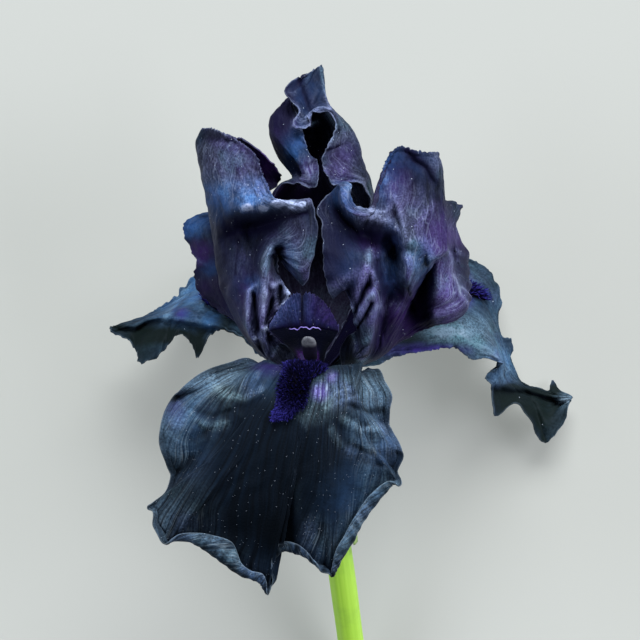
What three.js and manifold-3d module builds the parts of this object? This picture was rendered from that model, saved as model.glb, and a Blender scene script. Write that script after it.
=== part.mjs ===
// Bearded iris flower, picked with a short stem and lying on its back.
// Millimetres, +Z up. Six petals, three beards, three style arms, three stamens,
// tube with ovary, two spathe valves and a cut stem.
import * as THREE from 'three'
import Module from 'manifold-3d'

const manifoldLib = await Module()
manifoldLib.setup()
const { Manifold, Mesh } = manifoldLib

// Driving dimensions
const LEAN = 25
const BLADE = 0.7
const CLAW_RADIUS = 5.6
const TUBE_TOP = [-1.5, -15.9, 0]
const STEM_LENGTH = 71.5
const STEM_RADIUS = 4
const ORIGIN = [6.51, -20.14, -50]

const toRad = Math.PI / 180
const leanCos = Math.cos(LEAN * toRad)
const leanSin = Math.sin(LEAN * toRad)

// Point of the flower: to its right, to its front, and along its own axis
const place = (right, front, up) => [
  TUBE_TOP[0] + right,
  TUBE_TOP[1] + up * leanCos - front * leanSin,
  TUBE_TOP[2] + up * leanSin + front * leanCos,
]

// Smooth curve through knots [t, x, y, z]
const along = (knots, t) => {
  const last = knots.length - 1
  let i = 0
  while (i < last - 1 && t > knots[i + 1][0]) i++
  const a = knots[i]
  const b = knots[i + 1]
  const before = knots[Math.max(i - 1, 0)]
  const after = knots[Math.min(i + 2, last)]
  const span = b[0] - a[0]
  const s = Math.min(Math.max((t - a[0]) / span, 0), 1)
  const s2 = s * s
  const s3 = s2 * s
  return [1, 2, 3].map((k) => {
    const leave = (b[k] - before[k]) / (b[0] - before[0])
    const arrive = (after[k] - a[k]) / (after[0] - a[0])
    return (2 * s3 - 3 * s2 + 1) * a[k] + (s3 - 2 * s2 + s) * span * leave
      + (3 * s2 - 2 * s3) * b[k] + (s3 - s2) * span * arrive
  })
}

// Closed blade of even thickness round a grid of points, split alike on both faces
const blade = (grid, thickness) => {
  const rows = grid.length
  const cols = grid[0].length
  const point = (i, j) => new THREE.Vector3(...grid[i][j])
  const normals = grid.map((row, i) => row.map((p, j) => {
    const down = point(Math.min(i + 1, rows - 1), j).sub(point(Math.max(i - 1, 0), j))
    const over = point(i, Math.min(j + 1, cols - 1)).sub(point(i, Math.max(j - 1, 0)))
    return over.cross(down).normalize()
  }))
  const verts = []
  for (const side of [0.5, -0.5]) {
    grid.forEach((row, i) => row.forEach((p, j) => {
      const n = normals[i][j]
      verts.push(p[0] + n.x * thickness * side, p[1] + n.y * thickness * side, p[2] + n.z * thickness * side)
    }))
  }
  const id = (i, j) => i * cols + j
  const low = rows * cols
  const tris = []
  for (let i = 0; i + 1 < rows; i++) {
    for (let j = 0; j + 1 < cols; j++) {
      const a = id(i, j)
      const b = id(i, j + 1)
      const c = id(i + 1, j + 1)
      const d = id(i + 1, j)
      const even = point(i, j).distanceToSquared(point(i + 1, j + 1))
        < point(i, j + 1).distanceToSquared(point(i + 1, j))
      const pair = even ? [[a, b, c], [a, c, d]] : [[a, b, d], [b, c, d]]
      for (const [p, q, r] of pair) {
        tris.push(p, q, r, low + p, low + r, low + q)
      }
    }
  }
  const edge = (p, q) => tris.push(p, low + p, q, q, low + p, low + q)
  for (let j = 0; j + 1 < cols; j++) {
    edge(id(0, j), id(0, j + 1))
    edge(id(rows - 1, j + 1), id(rows - 1, j))
  }
  for (let i = 0; i + 1 < rows; i++) {
    edge(id(i + 1, 0), id(i, 0))
    edge(id(i, cols - 1), id(i + 1, cols - 1))
  }
  return toSolid(verts, tris)
}

const toSolid = (points, tris) => {
  const verts = points.map((value, k) => (k % 3 === 2 ? Math.max(value, ORIGIN[2]) : value))
  const solid = new Manifold(new Mesh({
    numProp: 3,
    vertProperties: new Float32Array(verts),
    triVerts: new Uint32Array(tris),
  }))
  return solid.volume() < 0 ? new Manifold(new Mesh({
    numProp: 3,
    vertProperties: new Float32Array(verts),
    triVerts: new Uint32Array(tris).reverse(),
  })) : solid
}

// Petal: lines run from the claw to the tip, one beside the other across the blade
const petalGrid = ({ from, to, lines, across, rows, cols }) => {
  const grid = []
  for (let i = 0; i <= rows; i++) {
    const v = i / rows
    const knots = lines.map((line, k) => {
      const turn = (from + (to - from) * across[k]) * toRad
      const foot = place(CLAW_RADIUS * Math.sin(turn), CLAW_RADIUS * Math.cos(turn), 0.5)
      return [across[k], ...along([[0, ...foot], ...line], v)]
    })
    grid.push(Array.from({ length: cols + 1 }, (_, j) => along(knots, j / cols)))
  }
  return grid
}

// Left standard, from its back margin round the left side to its front margin
const standardLeft = {
  from: -84, to: -36, rows: 30, cols: 19,
  across: [0, 0.1, 0.2, 0.3, 0.42, 0.54, 0.64, 0.76, 0.89, 1],
  lines: [
    [[0.12, -17.5, -8.3, 3.5], [0.22, -25, -0.3, 1], [0.3, -30, 2.4, -4], [0.36, -33.3, 5.1, -6],
      [0.42, -36.9, 9.6, -8], [0.47, -37.8, 14.4, -7], [0.5, -36.9, 17.4, -3], [0.55, -38.7, 20.4, -7],
      [0.6, -40.8, 25.8, -9], [0.64, -41.4, 28.5, -9], [0.68, -38.4, 31.2, -7], [0.72, -33.3, 32.4, -5],
      [0.78, -24, 35, -2], [0.84, -14.4, 39.3, 4], [0.88, -11.7, 43.2, 8], [0.93, -14.4, 47.4, 11],
      [0.97, -18.3, 51.3, 13], [1, -23.1, 54, 14]],
    [[0.2, -23.2, -2.6, 5.5], [0.35, -29, 5, 2], [0.5, -32, 16, 1], [0.64, -35, 27, -3], [0.75, -28, 33, -1],
      [0.85, -21, 40, 3], [0.93, -22, 48, 7], [1, -26, 55.2, 13]],
    [[0.2, -22.5, -4, 8], [0.35, -26, 5, 7], [0.5, -28, 16, 6], [0.64, -29, 27, 4], [0.75, -31, 33, 5],
      [0.85, -31, 41, 8], [0.93, -31.5, 49, 12], [1, -30.5, 56.8, 17]],
    [[0.1, -17, -11, 9], [0.2, -23.5, -3.2, 12], [0.3, -28.3, 5.5, 14], [0.45, -31.2, 17, 15],
      [0.6, -32.6, 28, 17], [0.72, -34.3, 37, 19], [0.85, -36.4, 47, 23], [0.94, -36.9, 53, 26],
      [1, -35.1, 57.4, 29]],
    [[0.1, -16, -11, 14], [0.2, -21.5, -3.5, 20], [0.3, -26, 5, 23], [0.45, -29, 17, 25.5],
      [0.6, -30.5, 28, 27.5], [0.72, -31.5, 37, 29], [0.85, -33.2, 47.5, 32], [1, -32, 57.4, 35]],
    [[0.1, -15, -12, 17.5], [0.2, -21.3, -4, 26], [0.3, -21.8, 4, 31], [0.45, -23.5, 17, 31.5],
      [0.6, -25, 28, 31.5], [0.68, -24.5, 34, 39], [0.8, -26, 42, 39], [0.9, -28, 50, 39], [1, -27.6, 55.5, 39.5]],
    [[0.1, -14.6, -12.4, 18.5], [0.2, -19, -5, 25], [0.3, -19.3, 4, 30], [0.45, -19.5, 15, 34],
      [0.56, -20, 24, 32], [0.62, -20, 29.5, 31.5], [0.68, -19.5, 34.5, 42], [0.8, -21.5, 41, 42],
      [0.9, -23.5, 48, 41.5], [1, -23.4, 53, 41]],
    [[0.1, -14.2, -12, 20], [0.2, -17.4, -4, 29], [0.3, -16.8, 5, 34.5], [0.4, -16, 13, 38],
      [0.48, -15.8, 19, 39], [0.54, -13, 24, 37.5], [0.6, -9, 28, 41], [0.65, -10, 32.5, 43],
      [0.7, -15.5, 35, 44], [0.8, -18.5, 40, 43.5], [0.9, -20.3, 45.5, 42.7], [1, -20.6, 50.8, 42]],
    [[0.1, -13.4, -10, 20], [0.2, -16.2, -2.5, 28], [0.3, -13.5, 5.5, 33], [0.36, -11.5, 9.5, 34],
      [0.42, -14, 15, 31], [0.47, -13.8, 20.5, 34], [0.52, -9.5, 18.5, 40], [0.57, -5, 18, 45.5],
      [0.62, -3.5, 25, 47], [0.66, -4.5, 31.5, 46], [0.7, -9.5, 34.6, 45.5], [0.75, -14.8, 37, 44.3],
      [0.85, -17.8, 43, 43], [1, -19, 48.5, 42]],
    [[0.05, -8.2, -13.8, 12.5], [0.09, -8.2, -9.3, 17], [0.13, -11.7, -6.8, 22], [0.17, -13.9, -4.4, 25],
      [0.2, -16.2, -3, 27.5], [0.24, -15, 0, 30], [0.28, -12.5, 3, 32], [0.32, -9.6, 5.6, 34],
      [0.355, -9.1, 8.4, 35], [0.39, -11.4, 11.2, 32], [0.43, -14, 15, 27.5], [0.46, -14.2, 20, 28],
      [0.49, -12.5, 20, 34], [0.52, -9.5, 14.8, 39.5], [0.55, -4.8, 10.5, 43.5], [0.58, -2.6, 17, 46],
      [0.61, -0.8, 25.5, 47.5], [0.64, -1.2, 31, 47.5], [0.665, -3, 36.2, 46], [0.69, -8, 36, 45.5],
      [0.72, -13.2, 36.2, 44.5], [0.8, -16, 41, 43.5], [0.9, -18, 45.9, 42.5], [1, -18.6, 47.4, 42]],
  ],
}

// Right standard, from its back margin round the right side to its front margin
const standardRight = {
  from: 84, to: 36, rows: 30, cols: 20,
  across: [0, 0.1, 0.2, 0.3, 0.42, 0.52, 0.6, 0.68, 0.76, 0.84, 0.92, 1],
  lines: [
    [[0.1, 17.5, -9.3, 3], [0.18, 26.5, -5.2, 7], [0.24, 33, -2.2, 13], [0.28, 37, -1.3, 15], [0.32, 41.2, -0.2, 12.5],
      [0.36, 45, 4.3, 7], [0.42, 45.2, 9, 2], [0.48, 45, 15, 0], [0.53, 44.6, 20, -1], [0.57, 42.6, 24, 1],
      [0.62, 40.8, 29, 3], [0.67, 43.2, 33.6, 1], [0.72, 41.2, 35.3, 3], [0.77, 36.5, 37.4, 6],
      [0.83, 32, 42, 9], [0.9, 31, 46, 12], [1, 33, 50, 17]],
    [[0.1, 17.6, -9.8, 6.5], [0.2, 28, -3, 11], [0.28, 35, 2, 19], [0.36, 42.2, 6.6, 14], [0.42, 40.9, 11, 15],
      [0.48, 39.7, 15.5, 16], [0.55, 38.8, 21, 17], [0.62, 38, 28, 13], [0.7, 39, 33.8, 9],
      [0.77, 36, 36, 11], [0.85, 34, 42, 13], [1, 35, 50, 19]],
    [[0.1, 18, -11, 9], [0.2, 26, -3, 12], [0.28, 32.3, 3, 17], [0.36, 35.5, 7, 22], [0.45, 35.5, 14, 23.5],
      [0.55, 36.5, 21, 24.5], [0.65, 37, 29, 22], [0.75, 37, 36, 20], [0.85, 36.4, 44, 21], [1, 35.2, 50.4, 23]],
    [[0.1, 17.8, -11, 13], [0.2, 24, -2, 15], [0.3, 28.5, 6, 17], [0.4, 31.5, 12, 19], [0.5, 34, 18, 23],
      [0.58, 37.2, 23, 28], [0.68, 37.9, 31, 28], [0.78, 36.8, 39, 28], [0.9, 36.4, 46, 28], [1, 34.6, 50.2, 28]],
    [[0.1, 17.2, -11.4, 16], [0.2, 22, -3.5, 22], [0.3, 26.5, 5.5, 28], [0.4, 30, 12, 31.5], [0.5, 34, 17.6, 32],
      [0.57, 37.5, 21, 31.5], [0.64, 37.2, 27.5, 32], [0.74, 35.6, 35, 33], [0.83, 35.4, 41, 34],
      [0.91, 35.8, 46.5, 33.5], [1, 33.5, 50.2, 33]],
    [[0.1, 16.8, -11.2, 18.5], [0.2, 20.5, -3.5, 25], [0.3, 25.6, 6.5, 32], [0.4, 27.5, 14, 37.5],
      [0.5, 29.5, 20, 39], [0.6, 31, 27, 38.5], [0.7, 31.5, 33, 37], [0.8, 30.5, 40, 36],
      [0.9, 30.5, 46, 36], [1, 30.5, 50.4, 36]],
    [[0.1, 16.2, -11, 20], [0.2, 19.6, -3, 26], [0.3, 24.9, 6, 33], [0.4, 25.2, 13, 39], [0.5, 25.2, 20, 42],
      [0.58, 25, 25.6, 43], [0.66, 24.5, 31, 41], [0.76, 26.3, 38, 39], [0.88, 26.8, 46, 38], [1, 27.5, 51, 38]],
    [[0.1, 15.4, -11, 20.5], [0.2, 18.5, -3, 25], [0.3, 20.5, 6, 27.5], [0.4, 21.5, 14, 28.5], [0.5, 21.5, 21, 31],
      [0.57, 21.3, 26.8, 41], [0.63, 20.5, 30.5, 42.5], [0.7, 21, 35, 40.5], [0.8, 22.5, 41, 39],
      [0.9, 23.3, 47, 38.5], [1, 24.6, 52.1, 38.5]],
    [[0.1, 14.4, -10.6, 22], [0.2, 15.6, -3.5, 30], [0.3, 16.9, 4.2, 35], [0.38, 16.4, 11.5, 38.5],
      [0.46, 16.8, 18.5, 37], [0.52, 16.5, 23, 36], [0.57, 16.3, 28.4, 43], [0.63, 17, 31.5, 44],
      [0.7, 18, 36, 41.5], [0.8, 19.2, 41.5, 39.8], [0.9, 20.8, 47, 38.8], [1, 22.8, 51.4, 38.5]],
    [[0.1, 13.2, -10.5, 23], [0.2, 12.7, -3.5, 31.5], [0.28, 12, 3.5, 37], [0.36, 13, 12, 41],
      [0.44, 14, 18.5, 41.5], [0.5, 13, 24, 40], [0.55, 11.8, 28.6, 43.5], [0.6, 12.8, 31.2, 45.5],
      [0.66, 15.6, 33.4, 44], [0.74, 16.7, 38, 41.5], [0.84, 18.3, 43.4, 40], [1, 21.6, 50, 38.8]],
    [[0.08, 12, -10, 23], [0.15, 11.9, -4, 30], [0.22, 10.9, 1.5, 34], [0.27, 10.2, 6, 36.5], [0.31, 8.7, 9.5, 40],
      [0.36, 7.5, 12.5, 43], [0.42, 7.3, 19, 44], [0.48, 6.5, 26, 43], [0.53, 5, 32, 41.5],
      [0.56, 5.2, 36.5, 43], [0.585, 6.3, 39.3, 45], [0.61, 6.6, 36.2, 47], [0.64, 8.2, 33, 47.5],
      [0.67, 11.4, 31.2, 47], [0.71, 15.8, 32, 45], [0.76, 17.2, 37, 41.8], [0.82, 18.4, 42, 40.2],
      [0.9, 20.2, 47, 39], [1, 21.8, 50.5, 38.6]],
    [[0.04, 6.2, -13.9, 14], [0.08, 5.9, -9.5, 19.5], [0.12, 7.9, -5.2, 25], [0.15, 10.8, -3, 29],
      [0.19, 10.1, 0.3, 32], [0.23, 9.6, 3.5, 34], [0.27, 9, 6, 35.5], [0.3, 7.05, 9.3, 37],
      [0.33, 3.9, 6.6, 40], [0.36, 2.2, 10, 42.5], [0.4, 1, 16.2, 45], [0.45, 0.7, 24, 46],
      [0.49, 0.4, 30, 45.5], [0.52, -0.8, 34, 44], [0.545, 1.6, 36.8, 42], [0.57, 3.8, 39.2, 40.5],
      [0.595, 7, 41.5, 42], [0.62, 9.4, 40.3, 44], [0.64, 9, 37.5, 45.5], [0.67, 10.8, 34.6, 46],
      [0.7, 14.6, 32.8, 45], [0.74, 16.2, 36, 42], [0.8, 17.6, 40.5, 40.3], [0.9, 19.5, 47, 39],
      [1, 21, 49.5, 38.8]],
  ],
}

// Back standard, from its left margin behind the flower to its right margin
const standardBack = {
  from: -157, to: -203, rows: 29, cols: 17,
  across: [0, 0.12, 0.25, 0.37, 0.5, 0.63, 0.76, 0.88, 1],
  lines: [
    [[0.2, -11, 4, -9.5], [0.33, -12.8, 18, -6], [0.42, -13, 28, 3], [0.5, -14, 36.5, 12], [0.54, -11.7, 40.5, 16], [0.57, -8, 41.6, 18.5],
      [0.6, -4.8, 40.2, 21], [0.63, -1.3, 40, 22.5], [0.66, -0.5, 43.5, 22], [0.69, -0.7, 47.6, 20.5],
      [0.73, -3.3, 50.2, 19], [0.78, -4.5, 54, 18], [0.83, -5.5, 58, 16], [0.87, -7, 62, 13],
      [0.91, -8.2, 65, 10], [1, -8.5, 68, 8]],
    [[0.2, -11.5, 5, -11.5], [0.4, -14, 26, -1], [0.48, -13, 38, 10], [0.53, -9, 42, 13.5], [0.57, -5.5, 43.5, 16],
      [0.62, -7, 47, 18], [0.7, -10.5, 53, 17], [0.78, -11, 59, 15], [0.86, -10, 64, 11], [1, -7.5, 68.5, 7.5]],
    [[0.2, -10.5, 6, -13], [0.35, -13.8, 22, -8], [0.45, -13.8, 37.2, 6], [0.49, -10.5, 41.3, 9],
      [0.515, -6.4, 43, 11], [0.54, -8.5, 44.8, 11], [0.58, -12, 48.3, 11], [0.62, -14, 52.5, 11.5],
      [0.66, -15.3, 56.5, 11.5], [0.72, -14.8, 60.8, 11], [0.78, -12, 64.3, 10], [0.86, -9.6, 66.8, 8],
      [1, -6, 69.5, 6.8]],
    [[0.2, -6.5, 7, -14], [0.4, -9, 28, -8], [0.5, -4.5, 42, 2], [0.6, -8, 50, 4], [0.7, -9, 57, 5],
      [0.85, -6, 66, 5.5], [1, -4, 71.5, 6.5]],
    [[0.2, 0, 7.5, -14.5], [0.4, 1, 28, -10], [0.55, 0, 46, -2], [0.7, -1, 57, 2], [0.85, -2, 66, 5], [1, -2, 74, 7.5]],
    [[0.2, 6, 7, -14], [0.4, 11, 28, -8], [0.55, 9, 46, 2], [0.7, 4.5, 58, 5], [0.8, 1, 65, 7], [0.9, -1, 70, 8],
      [1, -0.3, 75.5, 8.8]],
    [[0.2, 9.5, 6, -13], [0.4, 16, 30, -3], [0.48, 15, 42, 8], [0.54, 13.2, 47, 12], [0.62, 11, 54, 13],
      [0.68, 8.3, 59.2, 12.5], [0.73, 5.2, 62.2, 12], [0.78, 2.8, 64.5, 12], [0.85, 1.4, 68.5, 12],
      [0.93, 0.9, 73, 11], [1, 0.5, 76.8, 10]],
    [[0.2, 10.5, 5, -11.5], [0.4, 15.5, 30, 2], [0.48, 13.5, 41, 13.5], [0.54, 8.5, 45, 19], [0.62, 6.5, 50, 19],
      [0.7, 7, 57, 17.5], [0.75, 3.6, 63, 16], [0.8, -0.5, 64, 16], [0.85, -3.5, 62.5, 16.5],
      [0.9, -4.2, 65, 15.5], [0.95, -5, 69, 14.5], [1, -2.4, 75, 12]],
    [[0.2, 10, 4, -9.5], [0.32, 13.5, 18, -4], [0.42, 15.5, 34, 11], [0.48, 13, 40.5, 17], [0.52, 7.5, 41.4, 21],
      [0.55, 3.9, 40.3, 22.5], [0.58, 2.2, 43, 22], [0.62, 0.4, 47.5, 20.5], [0.65, 1.6, 51, 19.5],
      [0.68, 3.4, 54.6, 18.5], [0.71, 4.7, 58.3, 17.5], [0.74, 2.8, 62.6, 17], [0.77, -1.2, 63, 18],
      [0.8, -3.9, 61.2, 18.5], [0.83, -3, 58.3, 19.5], [0.86, -7.6, 57.6, 19.5], [0.89, -8.1, 60, 18.5],
      [0.91, -6.4, 62.7, 17.5], [0.94, -9, 66.2, 16.5], [0.96, -10.8, 69, 15.5], [0.98, -8, 72.3, 14.5],
      [1, -4.8, 73, 13.5]],
  ],
}

// Left fall, from its near margin over its crest to its far margin
const fallLeft = {
  from: -97, to: -143, rows: 28, cols: 10,
  across: [0, 0.2, 0.45, 0.72, 0.9, 1],
  lines: [
    [[0.2, -18.3, -10.8, -1], [0.3, -24, -4.8, -6], [0.38, -30, -2.6, -10], [0.44, -34, -6, -11],
      [0.48, -36.9, -11.6, -11], [0.53, -38.6, -7.6, -13.5], [0.6, -42.4, -4.4, -17], [0.68, -46.2, -8.1, -18],
      [0.74, -49.5, -11.4, -18], [0.8, -54.6, -12.9, -19], [0.86, -55.4, -9.9, -21.5], [0.92, -58, -6.3, -24],
      [1, -63.4, -3.6, -26.5]],
    [[0.2, -17.5, -8, -3], [0.4, -31, -1.6, -11.5], [0.55, -38.5, -0.6, -16], [0.68, -44.6, 0.4, -20],
      [0.8, -50.5, -0.4, -24], [0.9, -56, -2, -26.5], [1, -63.5, -3, -27.2]],
    [[0.2, -16.5, -6, -5], [0.4, -30, 2, -16], [0.6, -39, 5, -24], [0.8, -50, 1, -30], [1, -63.5, -2.7, -27.8]],
    [[0.2, -14.5, -4, -10], [0.4, -27, 7, -25], [0.6, -36.5, 9, -36], [0.8, -48.5, 2.8, -35.5],
      [1, -63.4, -2.5, -28.2]],
    [[0.15, -11, -6.8, -12.5], [0.3, -18.5, 4.5, -27.5], [0.42, -23.5, 11.5, -41], [0.47, -25.5, 14.2, -49.3],
      [0.5, -27.5, 15, -49.8], [0.54, -31, 15, -49.8], [0.57, -33, 14.6, -48.9], [0.65, -37.7, 12.2, -44.5],
      [0.72, -41.4, 8.6, -41.5], [0.8, -46.6, 4.7, -38.6], [0.9, -53, 0.8, -34], [1, -63.4, -2.3, -28.5]],
    [[0.15, -9, -8, -14], [0.3, -15, 4, -32], [0.42, -21, 14.5, -46], [0.46, -23, 18.2, -49.8],
      [0.5, -26, 19.6, -49.8], [0.54, -30, 19.2, -49.8], [0.57, -32.5, 17.6, -49.3], [0.65, -38.1, 13.8, -46], [0.72, -42, 9, -43], [0.8, -46, 5.4, -39.5],
      [0.86, -50, 3, -36.5], [0.93, -55.5, -1.6, -31], [1, -63.3, -2.2, -28.6]],
  ],
}

// Right fall, from its near margin over its crest to its far margin
const fallRight = {
  from: 97, to: 143, rows: 32, cols: 10,
  across: [0, 0.2, 0.45, 0.72, 0.9, 1],
  lines: [
    [[0.12, 17.5, -13.6, -2], [0.18, 21, -11.6, -5], [0.25, 27, -10, -8], [0.33, 33, -9.3, -11],
      [0.38, 36, -8.6, -13], [0.43, 40.5, -8.3, -15.5], [0.47, 43, -10, -17], [0.51, 46, -12, -18],
      [0.56, 50.5, -11.6, -22], [0.6, 54.8, -13.4, -27], [0.64, 53, -15.2, -28], [0.68, 50, -17, -27],
      [0.72, 51.6, -20, -27.5], [0.77, 53, -29.2, -29], [0.82, 59, -25.3, -34], [0.87, 63.5, -30.6, -38],
      [0.92, 67.8, -37.4, -41], [0.96, 73.5, -32, -42], [1, 76, -24, -43]],
    [[0.15, 18, -10, -3.5], [0.3, 31, -6, -9], [0.42, 40, -4, -14], [0.5, 47, -6.5, -19.5],
      [0.58, 52.5, -9.5, -25], [0.65, 54.6, -13.2, -29.5], [0.72, 54.5, -17.5, -31.5], [0.78, 57, -21.5, -34],
      [0.86, 63.5, -25, -39], [0.93, 69.5, -28.5, -42.5], [1, 76.2, -24, -43.4]],
    [[0.15, 17, -7, -6], [0.3, 30, -1, -14], [0.42, 40, 3, -21], [0.52, 48, 1, -27], [0.6, 53, -5, -31],
      [0.68, 55.4, -11.5, -34], [0.76, 57, -17, -36.5], [0.84, 62, -21.5, -40], [0.92, 69, -24.5, -44],
      [1, 76.3, -23.8, -43.8]],
    [[0.15, 14, -3, -12], [0.3, 28, 7, -28], [0.42, 41, 12.5, -38], [0.52, 49.5, 9, -39.5], [0.6, 52.5, 3, -37.5],
      [0.68, 54, -4.5, -37], [0.76, 56.8, -11.5, -39.5], [0.84, 60.3, -18.3, -41.8], [0.92, 67.8, -21.6, -45],
      [1, 76.4, -23.6, -44.2]],
    [[0.12, 10, -4.8, -14.5], [0.25, 23, 7.5, -32.5], [0.33, 31, 12.8, -43], [0.37, 35.5, 15.6, -49.8],
      [0.4, 38.3, 16.3, -49.85], [0.43, 41.5, 16.5, -49.8], [0.48, 46.3, 15.4, -46.5], [0.54, 50.6, 12.4, -43.6],
      [0.6, 53.2, 7, -40.2], [0.67, 54, -0.5, -38.6], [0.73, 55.4, -7, -39.6], [0.8, 58, -12.2, -41.8],
      [0.86, 61, -18.8, -42.2], [0.93, 69, -21.9, -45.6], [1, 76.5, -23.5, -44.4]],
    [[0.12, 8, -6, -16], [0.25, 20, 8, -36], [0.33, 29.5, 16.2, -47.4], [0.37, 34.5, 19, -49.8],
      [0.4, 38, 20.5, -49.85], [0.43, 41, 20.3, -49.8], [0.48, 46, 18.4, -48],
      [0.54, 51, 15.2, -46], [0.58, 53, 12, -44.5], [0.62, 54.6, 7.6, -42], [0.67, 53.8, 2, -39.5],
      [0.7, 52.8, -1.6, -39], [0.73, 55, -5, -40], [0.76, 57.6, -5.6, -42], [0.79, 58.2, -8.5, -42.5],
      [0.82, 56.6, -12.8, -41], [0.86, 59.5, -18.5, -42.5], [0.9, 64.5, -20.3, -44.5], [0.93, 69.5, -21.8, -46],
      [0.96, 70.6, -18.2, -48], [0.98, 73, -21.5, -46], [1, 76.5, -23.4, -44.5]],
  ],
}

// Front fall: margin points [x, y, z, width of the rolled rim], from its left shoulder round to its right one
const frontRim = [
  [-15.9, -14.4, 22, 0], [-21.6, -11.4, 31, 0], [-27, -12.6, 36, 0], [-34.8, -15.3, 39, 0], [-40.8, -19.8, 40, 0],
  [-43.8, -22.5, 36, 0], [-46.5, -27, 39, 0], [-48, -32.7, 42, 0], [-48, -38.1, 41, 0], [-45.9, -43.8, 37, 0],
  [-45, -47.1, 35, 0], [-46.5, -51.6, 37, 0], [-49.8, -54.3, 38, 0], [-51.9, -56.1, 38.5, 0],
  [-50.1, -57.8, 40, 0], [-50.1, -61.5, 41, 0], [-48.5, -64.8, 41, 0.3], [-46.5, -67.2, 40, 0.8],
  [-43.2, -66, 38.5, 2], [-38.7, -66.6, 37.5, 3], [-34.8, -68.7, 37, 4], [-29.4, -72.6, 36, 5],
  [-24.9, -75.9, 35, 3], [-21.5, -77.4, 34.5, 2.4], [-18.3, -78.6, 34, 2.6], [-17, -80.5, 33.5, 2],
  [-15.6, -82.5, 33, 0.6], [-14.6, -80, 33.2, 0.3], [-14.5, -77, 34, 0.3], [-14.6, -74.5, 35, 0.8],
  [-13.4, -71.4, 36, 2], [-11.1, -69.3, 36.5, 2.8], [-7.2, -69.9, 37, 2.6], [-3.9, -71.4, 37, 1.8],
  [-0.9, -74.1, 36.5, 1], [1.5, -75.8, 36, 0.5], [3.6, -76.8, 36, 1.2], [5.1, -74.7, 36.5, 2.6],
  [6.9, -70.8, 37, 3], [9.6, -66.9, 37.5, 3.2], [12.3, -61.5, 38, 3], [16.2, -55.8, 38.5, 3],
  [20.7, -50.4, 39, 2.2], [22.2, -49.2, 39, 1.2], [24.3, -49.5, 39, 0.4], [24.3, -47.7, 38, 0.1],
  [23.4, -45.3, 37.5, 0], [24.9, -41.4, 40, 0], [24.6, -38.7, 41, 0], [22.8, -34.8, 39, 0], [21, -31.5, 37, 0],
  [21, -27, 40, 0], [21.6, -22.5, 41, 0], [19.5, -18.3, 37, 0], [18, -15, 30, 0], [14.5, -14.2, 23, 0],
]
const frontRows = [0, 0.1, 0.2, 0.3, 0.42, 0.56, 0.7, 0.84, 1]
const rollTurns = [45, 95, 145, 190]

const clamp01 = (t) => Math.min(Math.max(t, 0), 1)
const ease = (t) => clamp01(t) * clamp01(t) * (3 - 2 * clamp01(t))

// Point of the front fall: u round its margin, v from the claw to the margin
const frontPoint = (u, v, margin, even) => {
  const turn = (-22 + 44 * u) * toRad
  const foot = place(CLAW_RADIUS * Math.sin(turn), CLAW_RADIUS * Math.cos(turn), 0.5)
  const aim = Math.abs(Math.atan2(margin[0] + 4, -(margin[1] + 18))) / toRad
  const sideways = ease((aim - 55) / 60)
  const reach = v < 0.45
    ? (0.3 + 0.18 * sideways) * Math.pow(v / 0.45, 2.3 - 1.1 * sideways)
    : 0.3 + 0.18 * sideways + (0.7 - 0.18 * sideways) * (v - 0.45) / 0.55
  const crest = 47.5 + (even + 1 - 47.5) * sideways
  const outer = clamp01((v - 0.45) / 0.55)
  const height = v < 0.45
    ? foot[2] + (crest - foot[2]) * (1 - Math.pow(1 - v / 0.45, 2.2))
    : crest + (even - crest) * outer * outer + (margin[2] - even) * Math.pow(outer, 4)
  const haft = ease(v / 0.22) * (1 - ease((v - 0.22) / 0.5))
  const side = 2 * u - 1
  return [
    foot[0] + (margin[0] - foot[0]) * reach + 9 * side * haft,
    foot[1] + (margin[1] - foot[1]) * reach + (6.2 - 2 * side * side) * haft,
    height - 2 * side * side * haft,
  ]
}

// Margin of the front fall at any share round it, and the even height it waves about
const frontLast = frontRim.length - 1
const frontMargin = (u) => {
  const k = Math.min(Math.floor(u * frontLast), frontLast - 1)
  const knots = [k - 1, k, k + 1, k + 2].map((n) => [n, ...frontRim[Math.min(Math.max(n, 0), frontLast)]])
  return along(knots, u * frontLast)
}
const frontEven = (u) => {
  let sum = 0
  for (let d = -4; d <= 4; d++) sum += frontMargin(clamp01(u + d / frontLast))[2]
  return sum / 9
}

// Front fall as rays from the claw to the margin, each ending in its rolled rim
const frontGrid = () => {
  const columns = frontRim.map((m, k) => {
    const u = k / frontLast
    const before = frontRim[Math.max(k - 1, 0)]
    const after = frontRim[Math.min(k + 1, frontLast)]
    const normal = new THREE.Vector2(before[1] - after[1], after[0] - before[0]).normalize()
    const ray = new THREE.Vector2(m[0] + 4, m[1] + 18).normalize()
    if (normal.dot(ray) < 0) normal.negate()
    const out = ray.clone().multiplyScalar(0.6).add(normal.multiplyScalar(0.4)).normalize()
    const turnMax = (12 + 178 * ease(m[3] / 2)) * toRad
    const radius = Math.min(1.15 + 0.2 * m[3], 1.75)
    const length = 1.8 + 1.75 * m[3]
    const reach = turnMax > Math.PI / 2 ? radius
      : radius * Math.sin(turnMax) + (length - radius * turnMax) * Math.cos(turnMax)
    const fold = [m[0] - out.x * reach, m[1] - out.y * reach, m[2]]
    const column = frontRows.map((v) => frontPoint(u, v, fold, frontEven(u)))
    const curl = (turn, extra) => [
      fold[0] + out.x * (radius * Math.sin(turn) + extra * Math.cos(turn)),
      fold[1] + out.y * (radius * Math.sin(turn) + extra * Math.cos(turn)),
      fold[2] + radius * (1 - Math.cos(turn)) + extra * Math.sin(turn),
    ]
    for (const degrees of rollTurns) {
      column.push(curl(turnMax * degrees / 190, (length - radius * turnMax) * 0.2 * degrees / 190))
    }
    column.push(curl(turnMax, length - radius * turnMax))
    return column
  })
  return columns[0].map((_, i) => columns.map((column) => column[i]))
}

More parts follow.
